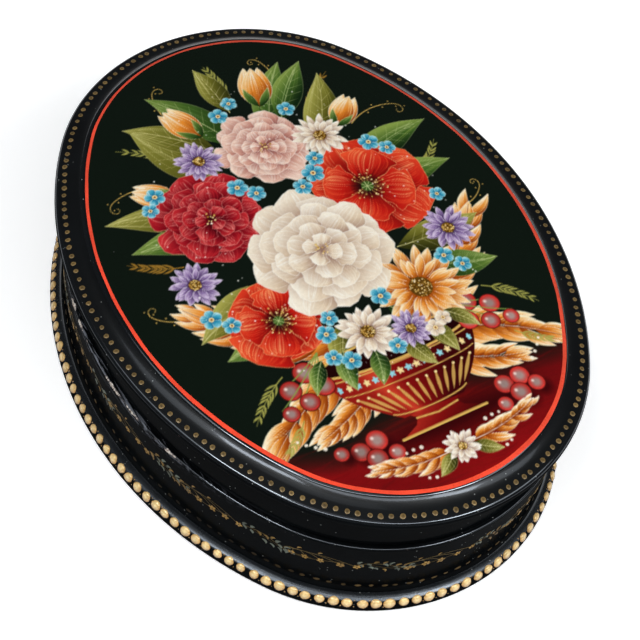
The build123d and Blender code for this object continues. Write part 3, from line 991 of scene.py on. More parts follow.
class Canvas:
    """A grid of colours that areas, strokes and spots are laid on."""

    def __init__(self, half_u, half_v, pitch, ground):
        self.u = np.arange(-half_u, half_u + pitch / 2, pitch)
        self.v = np.arange(-half_v, half_v + pitch / 2, pitch)
        self.pitch = pitch
        self.paint = np.empty((len(self.v), len(self.u), 3))
        self.paint[:] = ground

    def window(self, low, high):
        """The rows and columns between two corners, and their places."""
        cols = slice(*np.searchsorted(self.u, (low[0], high[0])))
        rows = slice(*np.searchsorted(self.v, (low[1], high[1])))
        u, v = np.meshgrid(self.u[cols], self.v[rows])
        return rows, cols, u, v

    def lay(self, rows, cols, cover, colour):
        """Mix a colour into part of the grid, by its cover."""
        part = self.paint[rows, cols]
        part += cover[..., None] * (colour - part)

    def area(self, outline, colour, alpha=1.0, soft=0.0):
        """Fill an outline. The colour may be a function of u and v."""
        outline = np.asarray(outline, float)
        soft = max(soft, self.pitch)
        rows, cols, u, v = self.window(outline.min(0) - soft, outline.max(0) + soft)
        if not u.size:
            return
        step = np.roll(outline, -1, axis=0) - outline
        _, away, du, dv = near_segments(u, v, outline, step)
        d = away.min(-1)
        rises = (dv < 0) != (dv < step[:, 1])
        slope = np.where(np.abs(step[:, 1]) < TINY, TINY, step[:, 1])
        inside = np.count_nonzero(rises & (du < step[:, 0] * dv / slope), axis=-1) % 2 == 1
        cover = alpha * np.clip(0.5 + np.where(inside, d, -d) / soft, 0, 1)
        self.lay(rows, cols, cover, colour(u, v) if callable(colour) else np.asarray(colour))

    def stroke(self, path, half, colour, alpha=1.0):
        """A brush line that may change in width and colour along its path."""
        path = np.asarray(path, float)
        half = np.broadcast_to(np.asarray(half, float), len(path))
        reach = half.max() + self.pitch
        rows, cols, u, v = self.window(path.min(0) - reach, path.max(0) + reach)
        if not u.size:
            return
        t, away, _, _ = near_segments(u, v, path[:-1], np.diff(path, axis=0))
        gap = away - (half[:-1] + t * np.diff(half))
        k = gap.argmin(-1)[..., None]
        cover = alpha * np.clip(0.5 - np.take_along_axis(gap, k, -1)[..., 0] / self.pitch, 0, 1)
        colour = np.asarray(colour, float)
        if colour.ndim == 2:
            place = (k + np.take_along_axis(t, k, -1))[..., 0]
            stops = np.arange(len(path))
            colour = np.stack([np.interp(place, stops, colour[:, c]) for c in range(3)], axis=-1)
        self.lay(rows, cols, cover, colour)

    def spot(self, centre, radius, colour, alpha=1.0, soft=0.0):
        """A round dot, hard or fading."""
        soft = max(soft, self.pitch)
        reach = radius + soft
        rows, cols, u, v = self.window(np.array(centre) - reach, np.array(centre) + reach)
        if u.size:
            d = np.hypot(u - centre[0], v - centre[1]) - radius
            self.lay(rows, cols, alpha * np.clip(0.5 - d / soft, 0, 1), np.asarray(colour, float))


canvas = Canvas(46.0, 62.0, PAINT_PITCH, rgb(13, 22, 15))
hand = np.random.default_rng(5)
LIGHT = np.array([-0.6, 0.8])


def tones(*colours):
    """Four colours of one paint, dark to light and then its edge, written as 0 to 255."""
    return [rgb(*c) for c in colours]


CREAM = tones((146, 112, 98), (226, 203, 174), (250, 240, 222), (255, 252, 244))
SCARLET = tones((92, 6, 8), (192, 26, 18), (236, 80, 44), (252, 176, 118))
CRIMSON = tones((54, 3, 12), (142, 12, 26), (206, 48, 52), (242, 148, 136))
FLAME = tones((134, 50, 10), (232, 140, 46), (255, 236, 188), (255, 250, 236))
LILAC = tones((66, 46, 88), (130, 102, 154), (198, 174, 210), (236, 224, 240))
BLUE = tones((14, 70, 106), (46, 146, 178), (150, 216, 226), (226, 246, 246))
GREEN = tones((16, 36, 14), (62, 94, 34), (134, 156, 72), (198, 208, 144))
OLIVE = tones((36, 38, 10), (106, 104, 36), (172, 168, 82), (224, 216, 152))
GOLD = tones((92, 60, 16), (168, 122, 44), (220, 178, 92), (250, 224, 156))
ROSE = tones((120, 60, 60), (212, 150, 132), (246, 216, 196), (255, 244, 232))
BOWL = tones((58, 5, 7), (128, 14, 14), (206, 62, 40), (250, 196, 140))
SHADOW = rgb(44, 2, 5)


def blend(tone, t):
    """Colours along a paint's dark, middle and light tone, t from 0 to 1."""
    t = np.clip(t, 0, 1)[..., None]
    low = tone[0] + (tone[1] - tone[0]) * np.clip(t * 2, 0, 1)
    return low + (tone[2] - low) * np.clip(t * 2 - 1, 0, 1)


def swing(base, angle, length, bend, count=18):
    """A curved axis from a base, with its unit normals."""
    t = np.linspace(0, 1, count)
    along = heading(angle)
    across = np.array([-along[1], along[0]])
    path = np.asarray(base) + length * (t[:, None] * along + bend * (t**2)[:, None] * across)
    d = np.gradient(path, axis=0)
    d /= np.linalg.norm(d, axis=1, keepdims=True) + TINY
    return t, path, np.stack([-d[:, 1], d[:, 0]], axis=1)


def turn_at(path, i):
    """The direction of a path at one of its points."""
    way = path[min(i + 1, len(path) - 1)] - path[i - 1]
    return math.atan2(way[1], way[0])


def petal(base, angle, length, width, tone, bend=0.0, belly=1.35, full=0.7, ruffle=0.0, hairs=10,
          outline=0.75, shade=0.35):
    """A petal or leaf lobe: graded colour, a shaded side, fine brush hairs and a pale edge."""
    t, path, normal = swing(base, angle, length, bend)
    half = 0.5 * width * np.sin(np.pi * t**belly) ** full
    half[0] = half[-1] = 0
    edges = []
    for side in (1, -1):
        wave = 1 + ruffle * np.sin(t * hand.uniform(14, 20) + hand.uniform(0, 6)) * t
        edges.append(path + side * normal * (half * wave)[:, None])
    left, right = edges
    along = heading(angle)
    across = np.array([-along[1], along[0]])
    lit = float(across @ LIGHT)

    def colour(u, v):
        x = ((u - base[0]) * along[0] + (v - base[1]) * along[1]) / length
        y = (u - base[0]) * across[0] + (v - base[1]) * across[1] - bend * length * np.clip(x, 0, 1) ** 2
        return blend(tone, 0.12 + 0.75 * x + shade * lit * (y / (0.5 * width)))

    def hair(f, first, last, count):
        at = np.linspace(first, last, count)
        inner = path + normal * (half * f)[:, None]
        return np.stack([np.interp(at, t, inner[:, c]) for c in range(2)], axis=1)

    canvas.area(np.concatenate([left, right[::-1]]), colour)
    for _ in range(hairs):
        f = hand.uniform(-0.82, 0.82)
        line = hair(f, hand.uniform(0.25, 0.6), hand.uniform(0.8, 0.97), 7)
        pale = tone[3] if f * lit > -0.2 else tone[2]
        canvas.stroke(line, np.linspace(0.0, hand.uniform(0.05, 0.1), 7), pale, hand.uniform(0.3, 0.7))
    for _ in range(hairs // 2):
        line = hair(hand.uniform(-0.7, 0.7), 0.03, hand.uniform(0.3, 0.55), 6)
        canvas.stroke(line, np.linspace(0.1, 0.0, 6), tone[0], hand.uniform(0.3, 0.6))
    canvas.stroke(np.concatenate([left[4:], right[::-1][:-4]]), 0.06, tone[3], outline)


def flower(centre, radius, rings, tone, **look):
    """Rings of petals from the outside in, each shading the one below."""
    start = hand.uniform(0, FULL_TURN)
    for index, (count, inner, outer, width) in enumerate(rings):
        if index:
            canvas.spot(centre, radius * outer * 0.9, tone[0], 0.5, radius * 0.35)
        for i in hand.permutation(count):
            angle = start + (i + 0.5 * index) * 2 * math.pi / count + hand.normal(0, 0.07)
            base = np.asarray(centre) + heading(angle) * radius * inner
            long = radius * (outer - inner) * (1 + hand.normal(0, 0.06))
            wide = radius * width * (1 + hand.normal(0, 0.07))
            petal(base, angle, long, wide, tone, bend=hand.normal(0, 0.1), **look)


PEONY_RINGS = [
    (10, 0.2, 1.0, 0.62), (9, 0.16, 0.82, 0.54), (8, 0.1, 0.64, 0.44), (6, 0.04, 0.46, 0.36),
    (4, 0.0, 0.28, 0.24),
]
POPPY_RINGS = [(5, 0.02, 1.0, 1.12), (4, 0.02, 0.74, 0.84)]


def peony(centre, radius, tone):
    """A full flower of ruffled rings, with gold grains in its heart."""
    flower(centre, radius, PEONY_RINGS, tone, belly=1.75, full=0.62, ruffle=0.16, hairs=16)
    for _ in range(14):
        way = hand.normal(0, radius * 0.055, 2)
        canvas.spot(np.asarray(centre) + way, hand.uniform(0.14, 0.26), GOLD[hand.integers(1, 4)])


def poppy(centre, radius, tone):
    """An open flower of broad petals, with gold stamens round a green heart."""
    flower(centre, radius, POPPY_RINGS, tone, belly=1.9, full=0.5, ruffle=0.2, hairs=34, shade=0.3)
    canvas.spot(centre, radius * 0.2, rgb(22, 12, 12), 0.9, radius * 0.2)
    for _ in range(44):
        angle = hand.uniform(0, FULL_TURN)
        tip = np.asarray(centre) + radius * hand.uniform(0.16, 0.34) * heading(angle)
        canvas.stroke([centre, tip], 0.04, GOLD[2], 0.5)
        canvas.spot(tip, hand.uniform(0.12, 0.2), GOLD[hand.integers(2, 4)])
    canvas.spot(centre, radius * 0.1, GREEN[1])
    for k in range(8):
        tip = np.asarray(centre) + radius * 0.1 * heading(k * math.pi / 4)
        canvas.stroke([centre, tip], 0.06, GREEN[3], 0.9)


def aster(centre, radius, count, tone):
    """Two rings of narrow petals round a heart of gold grains."""
    rings = [(count, 0.2, 1.0, 2.7 / count + 0.1), (count - 3, 0.16, 0.76, 2.4 / count + 0.08)]
    flower(centre, radius, rings, tone, belly=1.2, full=0.85, hairs=7)
    canvas.spot(centre, radius * 0.24, GOLD[0])
    for _ in range(int(70 * min(1, radius / 8))):
        r = radius * 0.23 * math.sqrt(hand.uniform())
        there = np.asarray(centre) + r * heading(hand.uniform(0, FULL_TURN))
        canvas.spot(there, hand.uniform(0.1, 0.18), GOLD[hand.integers(1, 4)], 0.95)


def small_flower(centre, radius, tone):
    """Five round petals with a gold heart."""
    start = hand.uniform(0, FULL_TURN)
    for k in range(5):
        angle = start + k * 2 * math.pi / 5
        petal(centre, angle, radius, radius * 0.85, tone, belly=1.7, full=0.55, hairs=4, outline=0.6)
    canvas.spot(centre, radius * 0.24, GOLD[3])
    canvas.spot(centre, radius * 0.1, rgb(120, 40, 10))


def leaf(base, angle, length, width, tone, bend=0.0):
    """A pointed leaf with a midrib, side veins and one lighter half."""
    look = {"belly": 0.9, "full": 1.05, "hairs": 8, "outline": 0.45, "shade": 0.55}
    petal(base, angle, length, width, tone, bend, **look)
    t, path, normal = swing(base, angle, length, bend)
    half = 0.5 * width * np.sin(np.pi * t**0.9) ** 1.05
    canvas.stroke(path, np.linspace(0.12, 0.03, len(path)), tone[3], 0.75)
    for k in range(3, 15, 2):
        for side in (-1, 1):
            tip = path[k + 2] + normal[k] * side * half[k + 2] * 0.85
            bow = 0.5 * (path[k] + tip) + 0.06 * (path[k + 1] - path[k])
            canvas.stroke([path[k], bow, tip], [0.06, 0.05, 0.0], tone[3], 0.5)


def flame_leaf(base, angle, length, bend, size, lobes=9):
    """A long curling leaf of pointed flame-coloured lobes."""
    _, path, normal = swing(base, angle, length, bend, 40)
    for k in range(lobes):
        at = 0.06 + 0.84 * k / (lobes - 1)
        i = int(at * 39)
        turn = turn_at(path, i)
        scale = size * (1 - 0.55 * at) * (1 + hand.normal(0, 0.06))
        for side in (-1, 1):
            lean = turn + side * hand.uniform(0.5, 0.85)
            petal(path[i], lean, scale * hand.uniform(0.9, 1.25), scale * 0.38, FLAME, bend=-side * 0.4,
                  belly=0.9, full=0.95, outline=0.6, shade=0.5)
    end = path[39] - path[30]
    petal(path[30], math.atan2(end[1], end[0]), size * 0.8, size * 0.3, FLAME, belly=0.9, full=1.0)
    canvas.stroke(path, np.linspace(0.3, 0.08, 40), FLAME[0], 0.7)
    canvas.stroke(path + normal * 0.12, np.linspace(0.12, 0.04, 40), FLAME[3], 0.7)


def berry(centre, radius):
    """A round berry with a grey bloom, a glint and a lit lower edge."""
    rim = rgb(196, 48, 42) * hand.uniform(0.85, 1.1)
    body = rgb(160, 140, 134) * hand.uniform(0.9, 1.1)
    centre = np.asarray(centre, float)
    canvas.spot(centre, radius, rim * 0.45)
    canvas.spot(centre, radius * 0.92, rim)
    canvas.spot(centre, radius * 0.55, body, 0.95, radius * 0.55)
    glint = centre + radius * np.array([-0.3, 0.34])
    canvas.spot(glint, radius * 0.14, np.array([1.0, 0.95, 0.9]), 0.85, radius * 0.2)
    lower = centre + radius * np.array([(-0.5, -0.62), (0, -0.82), (0.5, -0.62)])
    canvas.stroke(lower, 0.07, np.clip(rim * 1.5, 0, 1), 0.6)


def tendril(base, angle, length, bend, colour):
    """A thin line that ends in a curl, with dots beside it."""
    t = np.linspace(0, 1, 40)
    turn = angle + bend * t + np.clip(t - 0.55, 0, 1) ** 2 * 22 * np.sign(bend)
    step = length / 40 * (1 - 0.55 * t)
    way = np.stack([np.cos(turn), np.sin(turn)], axis=1)
    path = np.asarray(base) + np.cumsum(way * step[:, None], axis=0)
    canvas.stroke(path, np.linspace(0.14, 0.06, 40), colour, 0.9)
    for k in range(5, 30, 4):
        side = 1 if (k // 4) % 2 else -1
        off = np.array([-math.sin(turn[k]), math.cos(turn[k])]) * side * 0.75
        canvas.spot(path[k] + off, 0.2 * (1 - 0.4 * t[k]), colour, 0.9)


def spray(base, angle, length, colour, pairs, size, bend):
    """A grass-like spray of thin pointed strokes on a stem."""
    _, path, _ = swing(base, angle, length, bend, 24)
    canvas.stroke(path, np.linspace(0.14, 0.05, 24), colour, 0.9)
    for k in range(pairs):
        i = int(23 * (0.2 + 0.75 * k / pairs))
        turn = turn_at(path, i)
        for side in (-1, 1):
            long = size * (1 - 0.4 * k / pairs)
            _, line, _ = swing(path[i], turn + side * 0.7, long, -side * 0.25, 8)
            canvas.stroke(line, 0.22 * np.sin(np.pi * np.linspace(0.05, 1, 8)) + 0.02, colour, 0.9)


def red_ground():
    """The dark red ground, which fades upwards."""
    rows, cols, u, v = canvas.window((-46, -62), (46, -30))
    edge = -40 + 1.6 * np.sin(u / 7 + 1) + 0.8 * np.sin(u / 2.9) + 0.05 * u
    cover = np.clip((edge - v) / 7, 0, 1) ** 1.3
    glow = 1 + 0.14 * np.sin(u / 11 + 0.6) * np.cos(v / 5) - 0.012 * (v + 50)
    canvas.lay(rows, cols, 0.96 * cover, rgb(118, 11, 14) * glow[..., None])
    for _ in range(150):
        v = -60 + 17 * hand.uniform()
        u = hand.normal(0, 20)
        long = hand.uniform(5, 13)
        red = rgb(hand.uniform(70, 150), hand.uniform(6, 20), hand.uniform(8, 18))
        path = [(u - long / 2, v), (u, v + hand.normal(0, 0.3)), (u + long / 2, v + hand.normal(0, 0.3))]
        canvas.stroke(path, [0.05, hand.uniform(0.15, 0.35), 0.05], red, 0.2)


def foliage():
    """Sprays, tendrils, flame-coloured leaves, green leaves and buds, from the back to the front."""
    for base, angle, length, bend in (
        ((-16, 30), 2.2, 15, 0.25), ((16, 33), 0.95, 14, -0.2), ((-29, 6), 2.9, 11, -0.25),
        ((29, 8), 0.35, 11, 0.3), ((-24, -26), 3.6, 12, 0.2), ((25, -24), -0.5, 12, -0.25),
        ((2, 44), 1.5, 11, 0.15),
    ):
        spray(base, angle, length, GOLD[1] if hand.uniform() < 0.5 else OLIVE[2], 7, 2.6, bend)
    for base, angle, length, bend in (
        ((-22, 26), 2.6, 26, 1.6), ((23, 26), 0.6, 26, -1.6), ((-30, -6), 3.3, 22, -1.7),
        ((30, -4), -0.2, 22, 1.8), ((-12, 40), 2.1, 24, -1.5), ((13, 41), 1.1, 22, 1.5),
        ((-26, -34), 3.5, 16, 1.6), ((26, -34), -0.35, 16, -1.6),
    ):
        tendril(base, angle, length, bend, GOLD[2])
    for base, angle, length, bend, size in (
        ((-9, -24), 2.75, 31, -0.3, 11.5), ((9, -24), 0.36, 31, 0.3, 11.5), ((-8, -29), 3.3, 29, 0.3, 10.5),
        ((8, -29), -0.18, 29, -0.3, 10.5), ((-6, -34), 3.75, 19, -0.2, 8.0), ((6, -34), -0.62, 19, 0.2, 8.0),
    ):
        flame_leaf(base, angle, length, bend, size)
    for base, angle, length, width, bend, tone in (
        ((-10, 8), 2.75, 27, 9, 0.2, GREEN), ((12, 6), 0.3, 26, 9, -0.2, GREEN),
        ((-10, 22), 2.25, 25, 8.5, -0.15, OLIVE), ((12, 22), 0.85, 24, 8.5, 0.2, OLIVE),
        ((-3, 30), 1.9, 24, 8, 0.2, GREEN), ((5, 30), 1.2, 23, 8, -0.2, GREEN),
        ((-14, -6), 3.25, 21, 8, 0.2, OLIVE), ((14, -8), -0.1, 21, 8, 0.15, OLIVE),
        ((-14, 12), 2.5, 26, 8, 0.25, OLIVE), ((17, 14), 0.55, 23, 8, -0.25, GREEN),
        ((-8, 30), 2.15, 21, 7, 0.25, OLIVE), ((9, 33), 0.95, 20, 7, -0.1, GREEN),
        ((-16, -14), 3.6, 16, 7, -0.2, GREEN), ((17, -14), -0.5, 16, 7, 0.2, GREEN),
        ((-6, -20), 4.0, 12, 6, 0.2, OLIVE), ((4, -20), -0.9, 12, 6, -0.2, GREEN),
        ((0, 40), 1.57, 15, 6, 0.1, OLIVE),
    ):
        leaf(base, angle, length, width, tone, bend)
    for base, angle, size in (
        ((-9, 36), 2.0, 11), ((7, 39), 1.25, 12), ((20, 27), 0.75, 10), ((-22, 22), 2.45, 10),
    ):
        for turn, wide in ((0.32, 0.42), (-0.32, 0.42), (0.0, 0.5)):
            width = size * wide
            petal(base, angle + turn, size, width, FLAME, -turn * 0.6, belly=0.85, full=0.9, hairs=18)
        for turn, bend in ((0.75, -0.3), (-0.75, 0.3)):
            petal(base, angle + turn, size * 0.5, size * 0.16, GREEN, bend, belly=0.9, full=1.0, hairs=3)


BOWL_LIP = -29
BOWL_DEPTH = 15.5


def bowl():
    """A footed bowl with gold bands, stars and ribs."""
    around = np.linspace(0, 2 * math.pi, 48, endpoint=False)
    t = np.linspace(0, 1, 22)
    side = 17.5 - 10.5 * t**1.4 + 1.2 * np.sin(np.pi * t)
    left = np.stack([-side, BOWL_LIP - BOWL_DEPTH * t], axis=1)
    half_foot = np.array([(-6.6, -43.6), (-4.6, -45.4), (-5.6, -46.8), (-9.8, -48.6)])
    foot = np.concatenate([half_foot, half_foot[::-1] * (-1, 1)])

    def bowl_colour(u, v):
        across = u / np.interp(-v, -left[:, 1], side)
        shine = 0.12 * np.exp(-((across + 0.45) / 0.16) ** 2) * 3
        return blend(BOWL, 0.42 - 0.55 * across - 0.35 * across**2 + shine)

    def on_side(x, down, wide_at):
        low = BOWL_LIP - BOWL_DEPTH * down - 1.6 * np.sqrt(1 - x**2) + 0.4
        return np.stack([x * np.interp(wide_at, t, side), low], axis=-1)

    shadow = np.stack([2 + 17 * np.cos(around), -49 + 2.6 * np.sin(around)], axis=1)
    canvas.area(shadow, rgb(40, 2, 5), 0.75, 4.0)
    canvas.area(foot, lambda u, v: blend(BOWL, 0.55 - 0.04 * u + 0.05 * (v + 46)))
    canvas.stroke(foot[3:5], 0.28, GOLD[2])
    canvas.stroke([(-4.8, -45.5), (0, -46.1), (4.8, -45.5)], 0.2, GOLD[2], 0.95)
    canvas.area(np.concatenate([left, left[::-1] * (-1, 1)]), bowl_colour)
    for at, half in ((0.16, 0.16), (0.42, 0.12), (0.9, 0.16)):
        canvas.stroke(on_side(np.linspace(-0.97, 0.97, 24), at, at), half, GOLD[2], 0.95)
    for k in range(17):
        x = -0.92 + 1.84 * k / 16
        centre = on_side(x, 0.29, 0.29)
        squeeze = math.sqrt(1 - 0.8 * x**2)
        for ray in range(5):
            _, line, _ = swing(centre, QUARTER + ray * 2 * math.pi / 5, 0.85, 0.1, 6)
            line[:, 0] = centre[0] + (line[:, 0] - centre[0]) * squeeze
            star = GOLD[3] if k % 2 else BLUE[2]
            canvas.stroke(line, 0.24 * np.sin(np.pi * np.linspace(0.05, 1, 6)) + 0.03, star, 0.95)
    for k in range(13):
        x = -0.9 + 1.8 * k / 12
        top = on_side(x, 0.5, 0.5)
        rib = np.linspace(top, on_side(x, 0.84, 0.86), 8)
        canvas.stroke(rib, 0.34 * np.sin(np.pi * np.linspace(0.08, 1, 8)) + 0.04, GOLD[2], 0.85)
        canvas.spot(top + (0, -0.1), 0.3, GOLD[3])
    lip = np.stack([17.6 * np.cos(around), BOWL_LIP + 3.2 * np.sin(around)], axis=1)
    canvas.area(lip, rgb(30, 3, 4))
    canvas.stroke(np.concatenate([lip, lip[:1]]), 0.28, GOLD[2])


def berries():
    """Berries on stems over the bowl's lip, and in heaps on the ground."""
    for side in (-1, 1):
        for u, v, r in (
            (19.5, -26.5, 2.5), (24, -29, 2.3), (17.5, -30.8, 2.3), (21.8, -32.8, 2.1), (26.4, -33.6, 1.8),
        ):
            v += 0.5 * side
            way = math.atan2(v + 24, (u - 15) * side)
            _, line, _ = swing((15 * side, -24), way, math.hypot(u - 15, v + 24), 0.12 * side, 10)
            canvas.stroke(line, 0.13, GREEN[2], 0.9)
            berry((u * side, v), r)
    for u, v, r in (
        (-14.5, -46.3, 2.3), (-18.6, -47.2, 2.1), (-16.4, -49.8, 2.2), (-12.2, -50.2, 1.8), (-22.2, -46, 1.6),
        (15.5, -46.4, 2.2), (19.6, -46, 2.2), (17.6, -49.4, 2.3), (21.9, -48.8, 1.9), (13.2, -50.4, 1.7),
    ):
        canvas.spot((u + 0.9, v - r * 0.8), r * 0.9, SHADOW, 0.7, r * 0.9)
        berry((u, v), r)


def bouquet():
    """The large flowers, the leaves over the lip, and the small flowers between them."""
    aster((13, -19), 10.5, 22, FLAME)
    peony((-18, 15), 12.5, CRIMSON)
    poppy((17, 9), 13.5, SCARLET)
    peony((2, 28), 11, ROSE)
    poppy((-18, -14), 11, SCARLET)
    peony((-1, -2), 16, CREAM)
    for base, angle, length, width, bend in (
        ((-10, -26), 4.25, 9, 4.2, 0.25), ((-4, -28), 4.6, 8.5, 4, -0.2), ((3, -28), 4.85, 9, 4.2, 0.2),
        ((9, -27), 5.25, 9, 4.2, -0.25), ((14, -26), 5.6, 8, 3.6, -0.2), ((-15, -26), 3.9, 8, 3.6, 0.2),
    ):
        leaf(base, angle, length, width, OLIVE if base[0] > 0 else GREEN, bend)
    aster((5.5, -27), 4.6, 14, LILAC)
    aster((-3, -24), 6.5, 16, CREAM)
    for u, v, r in (
        (-9.5, -28.5, 2.2), (-12.5, -26.5, 1.9), (0.8, -29.5, 2.0), (10.2, -29, 2.1), (13, -27.5, 1.8),
    ):
        small_flower((u, v), r, CREAM if u > 5 else BLUE)
    for centre, radius, count, tone in (
        ((27, -8), 6, 15, LILAC), ((-29, 1), 5.5, 14, LILAC), ((15, 26), 6, 16, CREAM),
        ((-13, 30), 5.5, 15, LILAC),
    ):
        aster(centre, radius, count, tone)
    for u, v, r in (
        (8, 17, 2.6), (4, 14.5, 2.2), (10.5, 20.5, 2.1), (-9, 20, 2.4), (-6, 17, 2.1), (-30, -8, 2.3),
        (-27, -11, 2.0), (4, -17.5, 2.3), (22, -14, 2.2), (24.5, -17.5, 2.0), (-11, -21, 2.2),
        (-8.5, -17.8, 1.9), (24, 20, 2.4), (27, 17, 2.0), (-26, 25, 2.3), (-28.5, 22, 1.9), (-3, 40, 2.2),
        (1, 42.5, 1.9), (12, 36, 2.1), (30, 1, 1.9),
    ):
        small_flower((u, v), r, BLUE)
    for _ in range(150):
        a = hand.uniform(0, FULL_TURN)
        r = hand.uniform(0.55, 1.0)
        there = (33 * r * math.cos(a), 4 + 42 * r * math.sin(a))
        canvas.spot(there, hand.uniform(0.1, 0.22), CREAM[3], hand.uniform(0.4, 0.9))


def swag():
    """Flame leaves, sprigs and pearls on the ground, on both sides of a small flower."""
    for side in (-1, 1):
        turn = QUARTER * (1 - side)
        spray((25 * side, -36.5), turn - 0.85 * side, 9, OLIVE[2], 6, 2.2, 0.2 * side)
        flame_leaf((2.5 * side, -54.5), turn - 0.05 * side, 16, 0.22 * side, 5.6, 7)
        leaf((2 * side, -54.8), turn - 0.75 * side, 6.5, 3, OLIVE, 0.15 * side)
        for u, v, r in (
            (7.5, -51.4, 0.42), (9.2, -51.2, 0.36), (10.8, -51.3, 0.3), (24.4, -43.6, 0.42),
            (25.9, -42.5, 0.38), (27.3, -41.3, 0.34), (28.5, -40, 0.3), (8.2, -58.2, 0.36),
            (9.6, -57.7, 0.32),
        ):
            canvas.spot((u * side, v), r, CREAM[2], 0.95)
    aster((0, -54.6), 3.8, 13, CREAM)


def picture_sheet():
    """The painted ground of the lid's field, as a fine sheet with its colours in the mesh."""
    for paint in (red_ground, foliage, bowl, berries, bouquet, swag):
        paint()
    u, v = np.meshgrid(canvas.u, canvas.v)
    x, y = -v, u
    inside = oval_offset(x - LINE_SHIFT[0], y - LINE_SHIFT[1]) < -LINE_INSET
    low, high = slice(None, -1), slice(1, None)
    corners = ((low, low), (low, high), (high, high), (high, low))
    cells = np.logical_and.reduce([inside[c] for c in corners])
    used = np.zeros_like(inside)
    for corner in corners:
        used[corner] |= cells
    number = np.full(inside.shape, -1)
    number[used] = np.arange(np.count_nonzero(used))
    faces = np.stack([number[c][cells] for c in corners], axis=1)
    points = np.column_stack([x[used], y[used], field_top(x[used], y[used]) + PAINT_LIFT])
    colours = linear(np.clip(canvas.paint[used], 0, 1) * 255)
    piece = build_mesh("picture", points, faces.tolist(), [picture_paint], colours=colours)
    return settle(piece, "lid", "picture_paint")


picture_sheet()

# Chips along the seam's edge: place along the length, reach and strength
CHIPS = ((-17, 1.9, 1.0), (-12, 1.7, 0.95), (5.2, 3.0, 0.9), (11.8, 2.2, 0.72), (23.7, 1.9, 0.95))
WEAR_INSET = 0.12
RUB_MIDDLE = 2
RUB_SPREAD = 24


def wear_of(points):
    """How chipped and how rubbed the body wall is at points in millimetres, along the edge that opens."""
    x, y, z = points.T
    w = oval_offset(x, y)
    across = np.hypot(w + WEAR_INSET, z - (WALL_TOP - WEAR_INSET))
    chips = np.zeros(len(points))
    for centre, reach, strength in CHIPS:
        chips = np.maximum(chips, strength * np.clip(1.3 - np.abs(x - centre) / reach, 0, 1))
    chips = np.where(y < 0, chips, 0)
    edge = np.clip(1.15 - across / (0.3 + 0.32 * chips), 0, 1)
    zone = np.where(y < 0, np.exp(-(((x - RUB_MIDDLE) / RUB_SPREAD) ** 2)), 0)
    return edge * (0.2 + 0.14 * zone + 0.8 * chips), zone * np.exp(-((across / 1.1) ** 2))


places = np.empty(len(body_shell.data.vertices) * 3)
body_shell.data.vertices.foreach_get("co", places)
for name, values in zip(("wear", "rub"), wear_of(places.reshape(-1, 3) / MM)):
    layer = body_shell.data.attributes.new(name, "FLOAT", "POINT")
    layer.data.foreach_set("value", values)


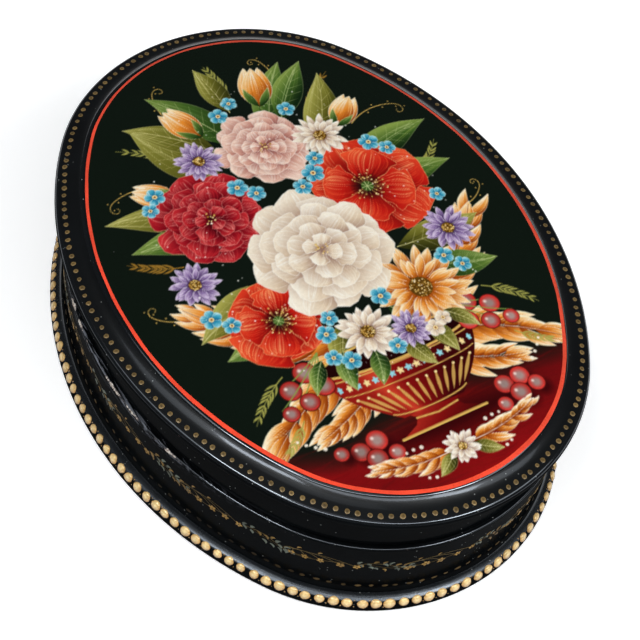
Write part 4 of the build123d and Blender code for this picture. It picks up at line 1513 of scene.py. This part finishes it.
# Stage
def stage_floor():
    """A pale round floor that turns up into a low backdrop."""
    n = Nodes("pale_floor")
    path = n.add("ShaderNodeLightPath").outputs
    seen = n.maths("MAXIMUM", path["Is Camera Ray"], path["Is Glossy Ray"])
    seen = n.maths("MAXIMUM", seen, path["Is Transmission Ray"])
    distance = n.add("ShaderNodeVectorMath", {0: n.coordinates}, operation="LENGTH").outputs["Value"]
    lift = n.maths("MULTIPLY", seen, n.ranged(distance, 0.06, 1.2, 0.4, 0.8))
    n.set(Base_Color=(0.94, 0.94, 0.94), Roughness=0.9, Specular_IOR_Level=0.1)
    n.set(Emission_Color=(1, 1, 1), Emission_Strength=lift)
    profile = [(0.3, 0), (0.8, 0), (1.6, 0)]
    profile += [(1.6 + 0.9 * math.sin(a), 0.35 - 0.35 * math.cos(a)) for a in np.linspace(0.1, 1.4, 14)]
    count = 96
    points = []
    for i in range(count):
        way = heading(2 * math.pi * i / count)
        points.extend((r * way[0] / MM, r * way[1] / MM, z / MM) for r, z in profile)
    points.append((0, 0, 0))
    rows = len(profile)
    faces, _ = ring_faces(count, rows, False)
    faces = [face[::-1] for face in faces]
    faces += [(i * rows, (i + 1) % count * rows, len(points) - 1) for i in range(count)]
    floor = build_mesh("floor", np.array(points), faces, [n.material])


stage_floor()

scene = bpy.context.scene
scene.view_settings.view_transform = "Standard"
world = bpy.data.worlds.new("studio")
world.use_nodes = True
world.node_tree.nodes["Background"].inputs["Color"].default_value = (0.95, 0.97, 1.0, 1)
world.node_tree.nodes["Background"].inputs["Strength"].default_value = 0.1
scene.world = world


LIT_POINT = Vector((0, 0, 0.03))


def softbox(name, place, wide, high, light):
    """A lamp of a width and height that gives the lit point this irradiance, face on."""
    lamp = bpy.data.lights.new(name, "AREA")
    lamp.shape = "RECTANGLE"
    lamp.size = wide
    lamp.size_y = high
    away = Vector(place) - LIT_POINT
    lamp.energy = light * math.pi * away.length_squared
    lamp.color = (0.965, 0.985, 1.0)
    holder = bpy.data.objects.new(name, lamp)
    holder.matrix_world = Matrix.Translation(place) @ away.to_track_quat("Z", "Y").to_matrix().to_4x4()
    scene.collection.objects.link(holder)


softbox("left", (0.045, -0.330, 0.726), 0.21, 0.1, 0.9)
softbox("right", (0.441, 0.178, 0.594), 0.21, 0.1, 0.85)
softbox("strip", (0.35, -0.2, 0.67), 0.66, 0.09, 0.95)
softbox("left_wing", (-0.15, -0.32, 0.71), 0.4, 0.2, 0.3)
softbox("right_wing", (0.355, 0.355, 0.585), 0.38, 0.18, 0.4)
softbox("top", (0.08, -0.06, 0.86), 0.3, 0.3, 0.1)

camera = bpy.data.cameras.new("camera")
camera.lens = 84.375
camera.sensor_width = 36.0
camera.clip_start = 0.01
camera_object = bpy.data.objects.new("camera", camera)
right = (0.50079363, 0.85625072, 0.12665088)
down = (0.73767283, -0.34565656, -0.57996581)
forward = (-0.45281844, 0.38387009, -0.80473549)
columns = [right, [-c for c in down], [-c for c in forward]]
turned = Matrix([[columns[c][r] for c in range(3)] for r in range(3)])
camera_object.matrix_world = Matrix.Translation((0.153694, -0.125903, 0.279230)) @ turned.to_4x4()
scene.collection.objects.link(camera_object)
scene.camera = camera_object

bpy.context.view_layer.update()
